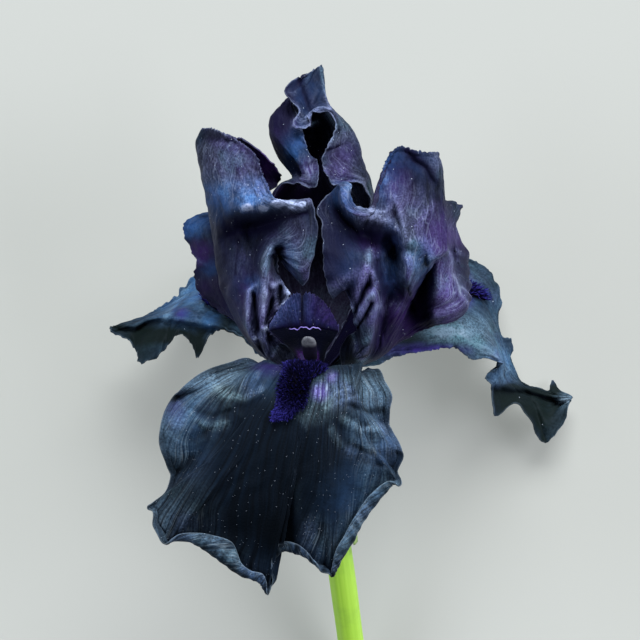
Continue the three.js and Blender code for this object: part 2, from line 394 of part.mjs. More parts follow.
// Beard: a core that lies over a petal at an even gap, with hairs rooted in it
const beard = ({ at, halfWidth, height, hairs, hairLength, seed }) => {
  const gap = BLADE / 2 + 0.7
  const steps = 11
  const arc = 6
  const frame = (t, c) => {
    const wide = halfWidth * (1.1 - 0.45 * t) * Math.sqrt(Math.max(1 - Math.pow(2 * t - 1, 4), 0.08))
    const p = new THREE.Vector3(...at(t, wide * c))
    const run = new THREE.Vector3(...at(Math.min(t + 0.03, 1), wide * c))
      .sub(new THREE.Vector3(...at(Math.max(t - 0.03, 0), wide * c))).normalize()
    const across = new THREE.Vector3(...at(t, wide * c + 0.3)).sub(new THREE.Vector3(...at(t, wide * c - 0.3))).normalize()
    const up = new THREE.Vector3().crossVectors(across, run).normalize()
    if (up.y + up.z < 0) up.negate()
    const thick = height * Math.sqrt(Math.max(1 - c * c, 0.03)) * Math.sqrt(Math.max(1 - Math.pow(2 * t - 1, 4), 0.08))
    return { p, run, across, up, thick }
  }
  const verts = []
  for (const layer of [0, 1]) {
    for (let i = 0; i <= steps; i++) {
      for (let k = 0; k <= arc; k++) {
        const { p, up, thick } = frame(i / steps, 2 * k / arc - 1)
        const q = p.addScaledVector(up, gap + layer * (0.25 + thick))
        verts.push(q.x, q.y, q.z)
      }
    }
  }
  const row = arc + 1
  const top = (steps + 1) * row
  const tris = []
  for (let i = 0; i < steps; i++) {
    for (let k = 0; k < arc; k++) {
      const a = i * row + k
      tris.push(a, a + row, a + 1, a + 1, a + row, a + row + 1)
      tris.push(top + a, top + a + 1, top + a + row, top + a + 1, top + a + row + 1, top + a + row)
    }
  }
  const wall = (p, q) => tris.push(p, q, top + p, q, top + q, top + p)
  for (let k = 0; k < arc; k++) {
    wall(k, k + 1)
    wall(steps * row + k + 1, steps * row + k)
  }
  for (let i = 0; i < steps; i++) {
    wall((i + 1) * row, i * row)
    wall(i * row + arc, (i + 1) * row + arc)
  }
  let state = seed
  const draw = () => {
    state = (state * 16807) % 2147483647
    return state / 2147483647
  }
  const bodies = [toSolid(verts, tris)]
  for (let h = 0; h < hairs; h++) {
    const t = 0.04 + 0.92 * (h + draw()) / hairs
    const c = (draw() * 2 - 1) * 0.75
    const { p, run, across, up, thick } = frame(t, c)
    const root = p.addScaledVector(up, gap + 0.25 + thick * 0.45)
    const aim = up.clone().addScaledVector(across, c * 1.3).addScaledVector(run, 0.1 + 0.5 * draw()).normalize()
    const long = hairLength * (0.75 + 0.5 * draw()) * Math.min(1, 0.35 + 4 * t)
    const tip = root.clone().addScaledVector(aim, long)
    const wide = new THREE.Vector3().crossVectors(aim, run).normalize()
    const deep = new THREE.Vector3().crossVectors(aim, wide).normalize()
    const ring = [0, 120, 240].map((d) => root.clone()
      .addScaledVector(wide, 0.5 * Math.cos(d * toRad)).addScaledVector(deep, 0.5 * Math.sin(d * toRad)))
    const hair = [...ring, tip].flatMap((q) => [q.x, q.y, q.z])
    bodies.push(toSolid(hair, [0, 2, 1, 0, 1, 3, 1, 2, 3, 2, 0, 3]))
  }
  return Manifold.union(bodies)
}

// Point of a side petal at any place across (0 to 1) and along (0 to 1)
const petalPoint = ({ from, to, lines, across }, u, v) => {
  const knots = lines.map((line, k) => {
    const turn = (from + (to - from) * across[k]) * toRad
    const foot = place(CLAW_RADIUS * Math.sin(turn), CLAW_RADIUS * Math.cos(turn), 0.5)
    return [across[k], ...along([[0, ...foot], ...line], v)]
  })
  return along(knots, u)
}

// Style arm: an arched strap over a fall that ends in an upturned crest of two lobes
const strapLine = [[0, 2.8, 0.6, 2], [0.25, 8, 6.8, 3.5], [0.5, 16, 15.5, 5.2], [0.75, 24, 24.2, 8.6],
  [1, 28, 28.5, 10.4]]
const crestHeight = [[0, 1.5, 0, 0], [0.15, 5.6, 0, 0], [0.33, 8.8, 0, 0], [0.42, 9.4, 0, 0], [0.47, 8.6, 0, 0],
  [0.53, 9.5, 0, 0], [0.7, 8.6, 0, 0], [0.85, 6, 0, 0], [1, 1.4, 0, 0]]
const styleGrid = (azimuth, sway, size, rows, cols) => {
  const cosA = Math.cos(azimuth * toRad)
  const sinA = Math.sin(azimuth * toRad)
  const grid = []
  const bend = rows - 3
  for (let i = 0; i <= rows; i++) {
    const strap = Math.min(i / bend, 1)
    const crest = Math.max((i - bend) / 3, 0)
    const [front, up, half] = along(strapLine, strap)
    const row = []
    for (let j = 0; j <= cols; j++) {
      const c = 2 * j / cols - 1
      const lift = along(crestHeight, j / cols)[0] * crest
      const right = (half * c + sway * strap) * size
      const out = 2.9 + (front - 2.9 - 0.38 * lift - 2.2 * strap * c * c) * size
      const high = 0.6 + (up - 0.6 - 2.6 * strap * c * c + lift) * size
      row.push(place(right * cosA + out * sinA, out * cosA - right * sinA, high))
    }
    grid.push(row)
  }
  return grid
}

// Stamen: a thin filament that swells into its anther
const stamen = (azimuth, sway, size) => {
  const cosA = Math.cos(azimuth * toRad)
  const sinA = Math.sin(azimuth * toRad)
  const stations = [[4.05, 0.6, 0.35], [9, 3.9, 0.38], [18, 12.8, 0.4], [19, 13.8, 1], [22.5, 17.9, 1.15], [26, 22.8, 1.1],
    [27.4, 24.7, 0.6]]
  const sides = 8
  const verts = []
  const tris = []
  stations.forEach(([front, up, radius], i) => {
    for (let k = 0; k < sides; k++) {
      const turn = 2 * Math.PI * k / sides
      const right = radius * Math.cos(turn) * (i > 2 ? 1.7 : 1) + sway * i / 6
      const lift = radius * Math.sin(turn)
      const out = 4.05 + (front - 4.05) * size - lift * 0.7
      const high = 0.6 + (up - 0.6) * size + lift * 0.7
      verts.push(...place(right * cosA + out * sinA, out * cosA - right * sinA, high))
    }
  })
  for (let i = 0; i + 1 < stations.length; i++) {
    for (let k = 0; k < sides; k++) {
      const a = i * sides + k
      const b = i * sides + (k + 1) % sides
      tris.push(a, b, a + sides, b, b + sides, a + sides)
    }
  }
  for (let k = 1; k + 1 < sides; k++) {
    tris.push(0, k + 1, k)
    const end = (stations.length - 1) * sides
    tris.push(end, end + k, end + k + 1)
  }
  return toSolid(verts, tris)
}

// Round body along the flower's axis, through rings [distance below the tube's top, radius, ribs]
const axisPoint = (down) => [TUBE_TOP[0] + 0.12 * down, TUBE_TOP[1] - down * leanCos, TUBE_TOP[2] - down * leanSin]
const turned = (rings, sides) => {
  const verts = []
  const tris = []
  for (const [down, radius, rib] of rings) {
    const [x, y, z] = axisPoint(down)
    for (let k = 0; k < sides; k++) {
      const turn = 2 * Math.PI * k / sides
      const r = radius * (1 + rib * Math.cos(3 * turn))
      verts.push(x + r * Math.cos(turn), y - r * Math.sin(turn) * leanSin, z + r * Math.sin(turn) * leanCos)
    }
  }
  for (let i = 0; i + 1 < rings.length; i++) {
    for (let k = 0; k < sides; k++) {
      const a = i * sides + k
      const b = i * sides + (k + 1) % sides
      tris.push(a, a + sides, b, b, a + sides, b + sides)
    }
  }
  for (let k = 1; k + 1 < sides; k++) {
    tris.push(0, k, k + 1)
    const end = (rings.length - 1) * sides
    tris.push(end, end + k + 1, end + k)
  }
  return toSolid(verts, tris)
}

// Spathe valve: a pointed sheath round the tube and the stem
const spatheGrid = ({ top, bottom, near, far, facing, spread }) => {
  const grid = []
  for (let i = 0; i <= 9; i++) {
    const t = i / 9
    const down = bottom + (top - bottom) * t
    const [x, y, z] = axisPoint(down)
    const radius = near + (far - near) * ease(t * 1.6)
    const reach = spread * (1 - 0.92 * t * t * t) * toRad
    const row = []
    for (let j = 0; j <= 8; j++) {
      const turn = facing * toRad + reach * (j / 4 - 1)
      row.push([x + radius * Math.cos(turn), y - radius * Math.sin(turn) * leanSin, z + radius * Math.sin(turn) * leanCos])
    }
    grid.push(row)
  }
  return grid
}

const group = new THREE.Group()
const add = (name, solid, color, roughness) => {
  const mesh = solid.getMesh()
  const geometry = new THREE.BufferGeometry()
  const count = mesh.vertProperties.length / mesh.numProp
  const positions = new Float32Array(count * 3)
  for (let i = 0; i < count; i++) {
    for (let k = 0; k < 3; k++) positions[i * 3 + k] = mesh.vertProperties[i * mesh.numProp + k] - ORIGIN[k]
  }
  geometry.setAttribute('position', new THREE.BufferAttribute(positions, 3))
  geometry.setIndex(new THREE.BufferAttribute(new Uint32Array(mesh.triVerts), 1))
  geometry.computeVertexNormals()
  const material = new THREE.MeshStandardMaterial({ color, roughness, metalness: 0 })
  const node = new THREE.Mesh(geometry, material)
  node.name = name
  group.add(node)
}

add('standard_left', blade(petalGrid(standardLeft), BLADE), 0x3f3c63, 0.6)
add('standard_right', blade(petalGrid(standardRight), BLADE), 0x3f3c63, 0.6)
add('standard_back', blade(petalGrid(standardBack), BLADE), 0x343560, 0.6)
add('fall_left', blade(petalGrid(fallLeft), BLADE), 0x24364f, 0.6)
add('fall_right', blade(petalGrid(fallRight), BLADE), 0x2c4660, 0.6)

const frontBeardAt = (t, wide) => {
  const u = 0.43 - 0.07 * t * t + wide * (0.05 - 0.04 * t)
  return frontPoint(u, 0.155 + 0.3 * t, frontMargin(u), frontEven(u))
}
add('fall_front', blade(frontGrid(), BLADE), 0x131a24, 0.55)
add('beard_front', beard({ at: frontBeardAt, halfWidth: 4.4, height: 2.2, hairs: 42, hairLength: 3.2, seed: 71 }),
  0x1d1550, 0.8)
add('beard_left', beard({ at: (t, wide) => petalPoint(fallLeft, 0.5 + wide * 0.05, 0.2 + 0.32 * t), halfWidth: 2.2,
  height: 1.8, hairs: 20, hairLength: 3.4, seed: 97 }), 0x1d1550, 0.8)
add('beard_right', beard({ at: (t, wide) => petalPoint(fallRight, 0.55 + 0.08 * t + wide * 0.04, 0.2 + 0.33 * t),
  halfWidth: 2.2, height: 1.8, hairs: 24, hairLength: 3.4, seed: 131 }), 0x1d1550, 0.8)
add('style_front', blade(styleGrid(-2, -2.4, 1, 9, 12), BLADE), 0x1f1c4a, 0.6)
add('style_left', blade(styleGrid(-120, 0, 0.66, 7, 8), BLADE), 0x1f1c4a, 0.6)
add('style_right', blade(styleGrid(120, 0, 0.66, 7, 8), BLADE), 0x1f1c4a, 0.6)
add('stamen_front', stamen(-2, -1.2, 1), 0xb9b59a, 0.7)
add('stamen_left', stamen(-120, 0, 0.66), 0xb9b59a, 0.7)
add('stamen_right', stamen(120, 0, 0.66), 0xb9b59a, 0.7)
add('tube_ovary', turned([[0, 4.8, 0], [3, 4, 0], [8, 3.3, 0], [13, 3.6, 0.02], [19, 5, 0.05], [26, 5.4, 0.06],
  [33, 4.8, 0.04], [38, 4, 0]], 18), 0x5c8a3a, 0.5)
add('stem', turned([[38.35, 4, 0], [60, 4, 0], [85, STEM_RADIUS, 0], [38.35 + STEM_LENGTH, STEM_RADIUS, 0]], 20), 0x7cb53f, 0.45)
add('spathe_outer', blade(spatheGrid({ top: 9, bottom: 56, near: 6, far: 8.2, facing: -90, spread: 125 }), BLADE),
  0x6f8a52, 0.6)
add('spathe_inner', blade(spatheGrid({ top: 6, bottom: 50, near: 4.85, far: 6.9, facing: 90, spread: 110 }), BLADE),
  0x7f9a5c, 0.6)

export default group
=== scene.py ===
import math

import bpy
import numpy as np
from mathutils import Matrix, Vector


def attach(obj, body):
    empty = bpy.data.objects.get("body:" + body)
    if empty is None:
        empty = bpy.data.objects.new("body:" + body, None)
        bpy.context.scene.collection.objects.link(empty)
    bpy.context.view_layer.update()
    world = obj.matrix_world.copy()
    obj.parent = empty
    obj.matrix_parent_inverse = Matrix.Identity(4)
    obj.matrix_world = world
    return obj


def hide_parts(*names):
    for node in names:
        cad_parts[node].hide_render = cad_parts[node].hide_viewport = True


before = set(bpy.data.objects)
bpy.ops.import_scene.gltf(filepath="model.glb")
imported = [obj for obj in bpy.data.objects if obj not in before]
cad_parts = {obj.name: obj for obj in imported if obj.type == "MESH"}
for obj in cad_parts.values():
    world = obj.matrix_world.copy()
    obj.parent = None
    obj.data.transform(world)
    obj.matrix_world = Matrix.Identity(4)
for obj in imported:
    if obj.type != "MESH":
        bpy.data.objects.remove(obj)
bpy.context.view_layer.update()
print("frame: loaded", len(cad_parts), "nodes")

scene = bpy.context.scene
mm = 0.001
flowerOrigin = np.array([6.51, -20.14, -50.0])  # the row's origin in the flower's own millimetres

# Camera: a long lens looking straight down on the flower, which lies on its back
cameraSetup = {
    "aim": (0.0, 0.0, 30.0),  # middle of the view, in the flower's millimetres
    "viewWidth": 192.0,  # millimetres across the picture at the aim
    "distance": 6000.0, "sensor": 36.0,  # millimetres
    "near": 1.0, "far": 20.0,  # metres
}


def toRow(point):
    return (np.asarray(point, dtype=float) - flowerOrigin) * mm


camera = bpy.data.objects.new("camera", bpy.data.cameras.new("camera"))
scene.collection.objects.link(camera)
scene.camera = camera
aimPoint = toRow(cameraSetup["aim"])
camera.location = (aimPoint[0], aimPoint[1], aimPoint[2] + cameraSetup["distance"] * mm)
camera.data.sensor_width = cameraSetup["sensor"]
camera.data.lens = cameraSetup["sensor"] * cameraSetup["distance"] / cameraSetup["viewWidth"]
camera.data.clip_start, camera.data.clip_end = cameraSetup["near"], cameraSetup["far"]
print("camera: lens", round(camera.data.lens), "mm")


# Colours are sRGB hex values, turned to linear here
def hexColour(code):
    channels = [int(code[i:i + 2], 16) / 255 for i in (1, 3, 5)]
    linear = [c / 12.92 if c <= 0.04045 else ((c + 0.055) / 1.055) ** 2.4 for c in channels]
    return (*linear, 1.0)


def fillInputs(tree, node, inputs):
    # a link for each socket, a value for each number and a linear colour for each hex value
    for key, value in inputs.items():
        if isinstance(value, bpy.types.NodeSocket):
            tree.links.new(value, node.inputs[key])
        else:
            node.inputs[key].default_value = hexColour(value) if isinstance(value, str) else value


def addNode(tree, kind, inputs=None, output=None, **settings):
    node = tree.nodes.new("ShaderNode" + kind)
    for key, value in settings.items():
        setattr(node, key, value)
    fillInputs(tree, node, inputs or {})
    return node if output is None else node.outputs[output]


def newMaterial(name):
    material = bpy.data.materials.new(name)
    material.use_nodes = True
    return material, material.node_tree, material.node_tree.nodes["Principled BSDF"]


smooth = {"interpolation_type": "SMOOTHSTEP"}
blend = {"data_type": "RGBA"}

# Floor and light: pale paper sweep, one big softbox beyond the flower's top, weak fills at the sides
floorSetup = {
    "size": 6.0,  # metres
    "colour": "#7f817d", "roughness": 0.95, "specular": 0.1,
    "glow": 0.3, "glowColour": "#e6ece8",  # light table under the paper
    "grain": 0.6, "grainDepth": 0.2, "grainStrength": 0.05,  # millimetres, millimetres, share
}
lightSetup = [
    # name, place in metres from the flower, width, height, power in watts, colour
    ("keySoftbox", (0.55, 3.6, 3.0), 3.8, 2.2, 520.0, "#fbfcff"),
    ("leftFill", (-2.2, 0.2, 1.5), 1.2, 1.2, 44.0, "#eef3ff"),
    ("rightFill", (2.1, 0.2, 1.7), 1.4, 1.4, 62.0, "#f4f4ff"),
]
lightAim = (0, 0, 0.05)  # metres
worldGlow = {"colour": "#dfe8f2", "strength": 0.08}


def makeFloor():
    half = floorSetup["size"] / 2
    mesh = bpy.data.meshes.new("floor")
    corners = [(-half, -half, 0), (half, -half, 0), (half, half, 0), (-half, half, 0)]
    mesh.from_pydata(corners, [], [(0, 1, 2, 3)])
    floor = bpy.data.objects.new("floor", mesh)
    scene.collection.objects.link(floor)
    # uncoated paper lit a little from below: even, pale and without gloss
    material, tree, shader = newMaterial("paper_sweep_matte")
    body = addNode(tree, "TexCoord", None, "Object")
    grain = addNode(tree, "TexNoise",
        {"Vector": body, "Scale": 1 / (floorSetup["grain"] * mm), "Detail": 2.0}, "Fac")
    bump = addNode(tree, "Bump",
        {"Height": grain, "Strength": floorSetup["grainStrength"], "Distance": floorSetup["grainDepth"] * mm},
        "Normal")
    fillInputs(tree, shader, {
        "Base Color": floorSetup["colour"], "Roughness": floorSetup["roughness"],
        "Specular IOR Level": floorSetup["specular"], "Emission Color": floorSetup["glowColour"],
        "Emission Strength": floorSetup["glow"], "Normal": bump})
    mesh.materials.append(material)


def makeLights():
    for name, spot, width, height, power, colour in lightSetup:
        data = bpy.data.lights.new(name, "AREA")
        data.shape = "RECTANGLE"
        data.size, data.size_y = width, height
        data.energy = power
        data.color = hexColour(colour)[:3]
        lamp = bpy.data.objects.new(name, data)
        lamp.location = spot
        lamp.rotation_euler = (Vector(lightAim) - Vector(spot)).to_track_quat("-Z", "Y").to_euler()
        scene.collection.objects.link(lamp)
    world = bpy.data.worlds.new("studio")
    world.use_nodes = True
    background = world.node_tree.nodes["Background"]
    fillInputs(world.node_tree, background, {"Color": worldGlow["colour"], "Strength": worldGlow["strength"]})
    scene.world = world
    scene.view_settings.view_transform = "Standard"


makeFloor()
makeLights()
print("studio: floor and", len(lightSetup), "softboxes")


# Shapes: the same smooth curves and petal nets as the CAD, read at many more places
def curve(places, values, at):
    places = np.asarray(places, dtype=float)
    values = np.asarray(values, dtype=float)
    at = np.asarray(at, dtype=float)
    i = np.clip(np.searchsorted(places, at, side="left") - 1, 0, len(places) - 2)
    before = np.maximum(i - 1, 0)
    after = np.minimum(i + 2, len(places) - 1)
    wide = (slice(None),) + (None,) * (values.ndim - 1)
    span = (places[i + 1] - places[i])[wide]
    s = np.clip((at - places[i]) / (places[i + 1] - places[i]), 0, 1)[wide]
    leave = (values[i + 1] - values[before]) / (places[i + 1] - places[before])[wide]
    arrive = (values[after] - values[i]) / (places[after] - places[i])[wide]
    return ((2 * s**3 - 3 * s**2 + 1) * values[i] + (s**3 - 2 * s**2 + s) * span * leave
            + (3 * s**2 - 2 * s**3) * values[i + 1] + (s**3 - s**2) * span * arrive)


lean = math.radians(25)  # the flower's axis above the surface
leanCos, leanSin = math.cos(lean), math.sin(lean)
tubeTop = np.array([-1.5, -15.9, 0.0])
clawRadius, clawHeight = 5.6, 0.5
petalThickness = 0.5


def place(right, front, up):
    right, front, up = np.broadcast_arrays(np.asarray(right, float), front, up)
    return np.stack([tubeTop[0] + right, tubeTop[1] + up * leanCos - front * leanSin,
                     tubeTop[2] + up * leanSin + front * leanCos], axis=-1)


def roundAxis(right, out, up, azimuth):
    # a place whose "out" points away from the axis, at so many degrees from the front
    turnCos, turnSin = math.cos(math.radians(azimuth)), math.sin(math.radians(azimuth))
    return place(right * turnCos + out * turnSin, out * turnCos - right * turnSin, up)


def unit(vectors):
    return vectors / np.maximum(np.linalg.norm(vectors, axis=-1, keepdims=True), 1e-9)


def ease(t):
    t = np.clip(t, 0, 1)
    return t * t * (3 - 2 * t)


def petalPoints(petal, u, v):
    lines = []
    for share, line in zip(petal["across"], petal["lines"]):
        turn = math.radians(petal["from"] + (petal["to"] - petal["from"]) * share)
        foot = place(clawRadius * math.sin(turn), clawRadius * math.cos(turn), clawHeight)
        knots = np.array([[0, *foot], *line])
        lines.append(curve(knots[:, 0], knots[:, 1:], v))
    return curve(petal["across"], np.array(lines), u).transpose(1, 0, 2)


def ripple(t, seed, low, high, count=7):
    # random waves added up, each with "low" to "high" turns
    draw = np.random.default_rng(seed)
    turns, phases = draw.uniform(low, high, count), draw.uniform(0, 2 * math.pi, count)
    sizes = draw.uniform(0.4, 1.0, count)
    total = sum(size * np.sin(2 * math.pi * turn * t + phase)
                for turn, phase, size in zip(turns, phases, sizes))
    return total / math.sqrt(count / 2)


def gridNormals(points):
    return unit(np.cross(np.gradient(points, axis=1), np.gradient(points, axis=0)))


def crowded(count, start=True):
    # shares from 0 to 1 with a few extra ones close to the ends that carry a rounded rim
    inner = np.linspace(0, 1, count)
    step = inner[1]
    extra = [1 - step * 0.12, 1 - step * 0.35]
    if start:
        extra += [step * 0.12, step * 0.35]
    return np.sort(np.concatenate([inner, extra]))


def marginDistance(points, axes=(1, 0)):
    # how far each point lies from the blade's two sides (axis 1) and from its tip (axis 0)
    distance = np.full(points.shape[:2], 1e3)
    for axis in axes:
        steps = np.linalg.norm(np.diff(points, axis=axis), axis=-1)
        run = np.concatenate([0 * steps.take([0], axis), np.cumsum(steps, axis=axis)], axis=axis)
        toEnd = run.take([-1], axis) - run
        distance = np.minimum(distance, np.minimum(run, toEnd) if axis else toEnd)
    return distance


def addPiece(name, verts, faces, material, nodeName, values, skin):
    # a smooth mesh from vertices in the flower's millimetres, with its attributes and its place on the skin
    mesh = bpy.data.meshes.new(name)
    corners = [face for part in faces for face in np.asarray(part).tolist()]
    mesh.from_pydata(toRow(verts).tolist(), [], corners)
    mesh.validate()
    for key, value in values.items():
        layer = mesh.attributes.new(key, "FLOAT", "POINT")
        layer.data.foreach_set("value", value)
    cornerVerts = np.empty(len(mesh.loops), dtype=np.int64)
    mesh.loops.foreach_get("vertex_index", cornerVerts)
    layer = mesh.uv_layers.new(name="skin")
    layer.data.foreach_set("uv", np.asarray(skin)[cornerVerts].reshape(-1))
    mesh.polygons.foreach_set("use_smooth", [True] * len(mesh.polygons))
    mesh.materials.append(material)
    piece = bpy.data.objects.new(name, mesh)
    scene.collection.objects.link(piece)
    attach(piece, "root")
    if nodeName:
        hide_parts(nodeName)
    return piece


def bladeMesh(name, points, thickness, rim, across, down, material, nodeName, extras=None):
    # closed blade round a grid of points in the flower's millimetres, with its rim rounded off
    rows, cols = points.shape[:2]
    normal = gridNormals(points)
    rimReach, rimThinnest = 0.6, 0.12  # shares of the thickness
    roundOff = np.sqrt(np.clip(1 - (1 - np.clip(rim / (thickness * rimReach), 0, 1)) ** 2, 0.0, 1))
    offset = normal * (thickness / 2 * np.maximum(roundOff, rimThinnest))[..., None]
    faceUp = points + offset
    faceDown = points - offset
    verts = np.concatenate([faceUp.reshape(-1, 3), faceDown.reshape(-1, 3)])
    verts[:, 2] = np.maximum(verts[:, 2], flowerOrigin[2])
    index = np.arange(rows * cols).reshape(rows, cols)
    a, b, c, d = index[:-1, :-1], index[:-1, 1:], index[1:, 1:], index[1:, :-1]
    top = np.stack([a, b, c, d], axis=-1).reshape(-1, 4)
    low = np.stack([a, d, c, b], axis=-1).reshape(-1, 4) + rows * cols
    ring = np.concatenate([index[0, :-1], index[:-1, -1], index[-1, :0:-1], index[:0:-1, 0]])
    nextRing = np.roll(ring, -1)
    wall = np.stack([ring, ring + rows * cols, nextRing + rows * cols, nextRing], axis=-1)
    values = {"rim": rim, **(extras or {})}
    values = {key: np.tile(np.asarray(value, float).reshape(-1), 2) for key, value in values.items()}
    values["side"] = np.repeat([1.0, 0.0], rows * cols)
    skin = np.tile(np.stack([across, down], axis=-1).reshape(-1, 2), (2, 1))
    return addPiece(name, verts, [top, low, wall], material, nodeName, values, skin)


# Petal nets in millimetres: lines of [share, x, y, z] from the claw to the tip, side by side across the blade
standardLeft = {
    "from": -84, "to": -36, "width": 75, "length": 95,
    "across": [0, 0.1, 0.2, 0.3, 0.42, 0.54, 0.64, 0.76, 0.89, 1],
    "lines": [
        [[0.12, -17.5, -8.3, 3.5], [0.22, -25, -0.3, 1], [0.3, -30, 2.4, -4], [0.36, -33.3, 5.1, -6],
            [0.42, -36.9, 9.6, -8], [0.47, -37.8, 14.4, -7], [0.5, -36.9, 17.4, -3],
            [0.55, -38.7, 20.4, -7], [0.6, -40.8, 25.8, -9], [0.64, -41.4, 28.5, -9],
            [0.68, -38.4, 31.2, -7], [0.72, -33.3, 32.4, -5], [0.78, -24, 35, -2], [0.84, -14.4, 39.3, 4],
            [0.88, -11.7, 43.2, 8], [0.93, -14.4, 47.4, 11], [0.97, -18.3, 51.3, 13], [1, -23.1, 54, 14]],
        [[0.2, -23.2, -2.6, 5.5], [0.35, -29, 5, 2], [0.5, -32, 16, 1], [0.64, -35, 27, -3],
            [0.75, -28, 33, -1], [0.85, -21, 40, 3], [0.93, -22, 48, 7], [1, -26, 55.2, 13]],
        [[0.2, -22.5, -4, 8], [0.35, -26, 5, 7], [0.5, -28, 16, 6], [0.64, -29, 27, 4], [0.75, -31, 33, 5],
            [0.85, -31, 41, 8], [0.93, -31.5, 49, 12], [1, -30.5, 56.8, 17]],
        [[0.1, -17, -11, 9], [0.2, -23.5, -3.2, 12], [0.3, -28.3, 5.5, 14], [0.45, -31.2, 17, 15],
            [0.6, -32.6, 28, 17], [0.72, -34.3, 37, 19], [0.85, -36.4, 47, 23], [0.94, -36.9, 53, 26],
            [1, -35.1, 57.4, 29]],
        [[0.1, -16, -11, 14], [0.2, -21.5, -3.5, 20], [0.3, -26, 5, 23], [0.45, -29, 17, 25.5],
            [0.6, -30.5, 28, 27.5], [0.72, -31.5, 37, 29], [0.85, -33.2, 47.5, 32], [1, -32, 57.4, 35]],
        [[0.1, -15, -12, 17.5], [0.2, -21.3, -4, 26], [0.3, -21.8, 4, 31], [0.45, -23.5, 17, 31.5],
            [0.6, -25, 28, 31.5], [0.68, -24.5, 34, 39], [0.8, -26, 42, 39], [0.9, -28, 50, 39],
            [1, -27.6, 55.5, 39.5]],
        [[0.1, -14.6, -12.4, 18.5], [0.2, -19, -5, 25], [0.3, -19.3, 4, 30], [0.45, -19.5, 15, 34],
            [0.56, -20, 24, 32], [0.62, -20, 29.5, 31.5], [0.68, -19.5, 34.5, 42], [0.8, -21.5, 41, 42],
            [0.9, -23.5, 48, 41.5], [1, -23.4, 53, 41]],
        [[0.1, -14.2, -12, 20], [0.2, -17.4, -4, 29], [0.3, -16.8, 5, 34.5], [0.4, -16, 13, 38],
            [0.48, -15.8, 19, 39], [0.54, -13, 24, 37.5], [0.6, -9, 28, 41], [0.65, -10, 32.5, 43],
            [0.7, -15.5, 35, 44], [0.8, -18.5, 40, 43.5], [0.9, -20.3, 45.5, 42.7], [1, -20.6, 50.8, 42]],
        [[0.1, -13.4, -10, 20], [0.2, -16.2, -2.5, 28], [0.3, -13.5, 5.5, 33], [0.36, -11.5, 9.5, 34],
            [0.42, -14, 15, 31], [0.47, -13.8, 20.5, 34], [0.52, -9.5, 18.5, 40], [0.57, -5, 18, 45.5],
            [0.62, -3.5, 25, 47], [0.66, -4.5, 31.5, 46], [0.7, -9.5, 34.6, 45.5], [0.75, -14.8, 37, 44.3],
            [0.85, -17.8, 43, 43], [1, -19, 48.5, 42]],
        [[0.05, -8.2, -13.8, 12.5], [0.09, -8.2, -9.3, 17], [0.13, -11.7, -6.8, 22],
            [0.17, -13.9, -4.4, 25], [0.2, -16.2, -3, 27.5], [0.24, -15, 0, 30], [0.28, -12.5, 3, 32],
            [0.32, -9.6, 5.6, 34], [0.355, -9.1, 8.4, 35], [0.39, -11.4, 11.2, 32], [0.43, -14, 15, 27.5],
            [0.46, -14.2, 20, 28], [0.49, -12.5, 20, 34], [0.52, -9.5, 14.8, 39.5],
            [0.55, -4.8, 10.5, 43.5], [0.58, -2.6, 17, 46], [0.61, -0.8, 25.5, 47.5],
            [0.64, -1.2, 31, 47.5], [0.665, -3, 36.2, 46], [0.69, -8, 36, 45.5], [0.72, -13.2, 36.2, 44.5],
            [0.8, -16, 41, 43.5], [0.9, -18, 45.9, 42.5], [1, -18.6, 47.4, 42]],
    ],
}

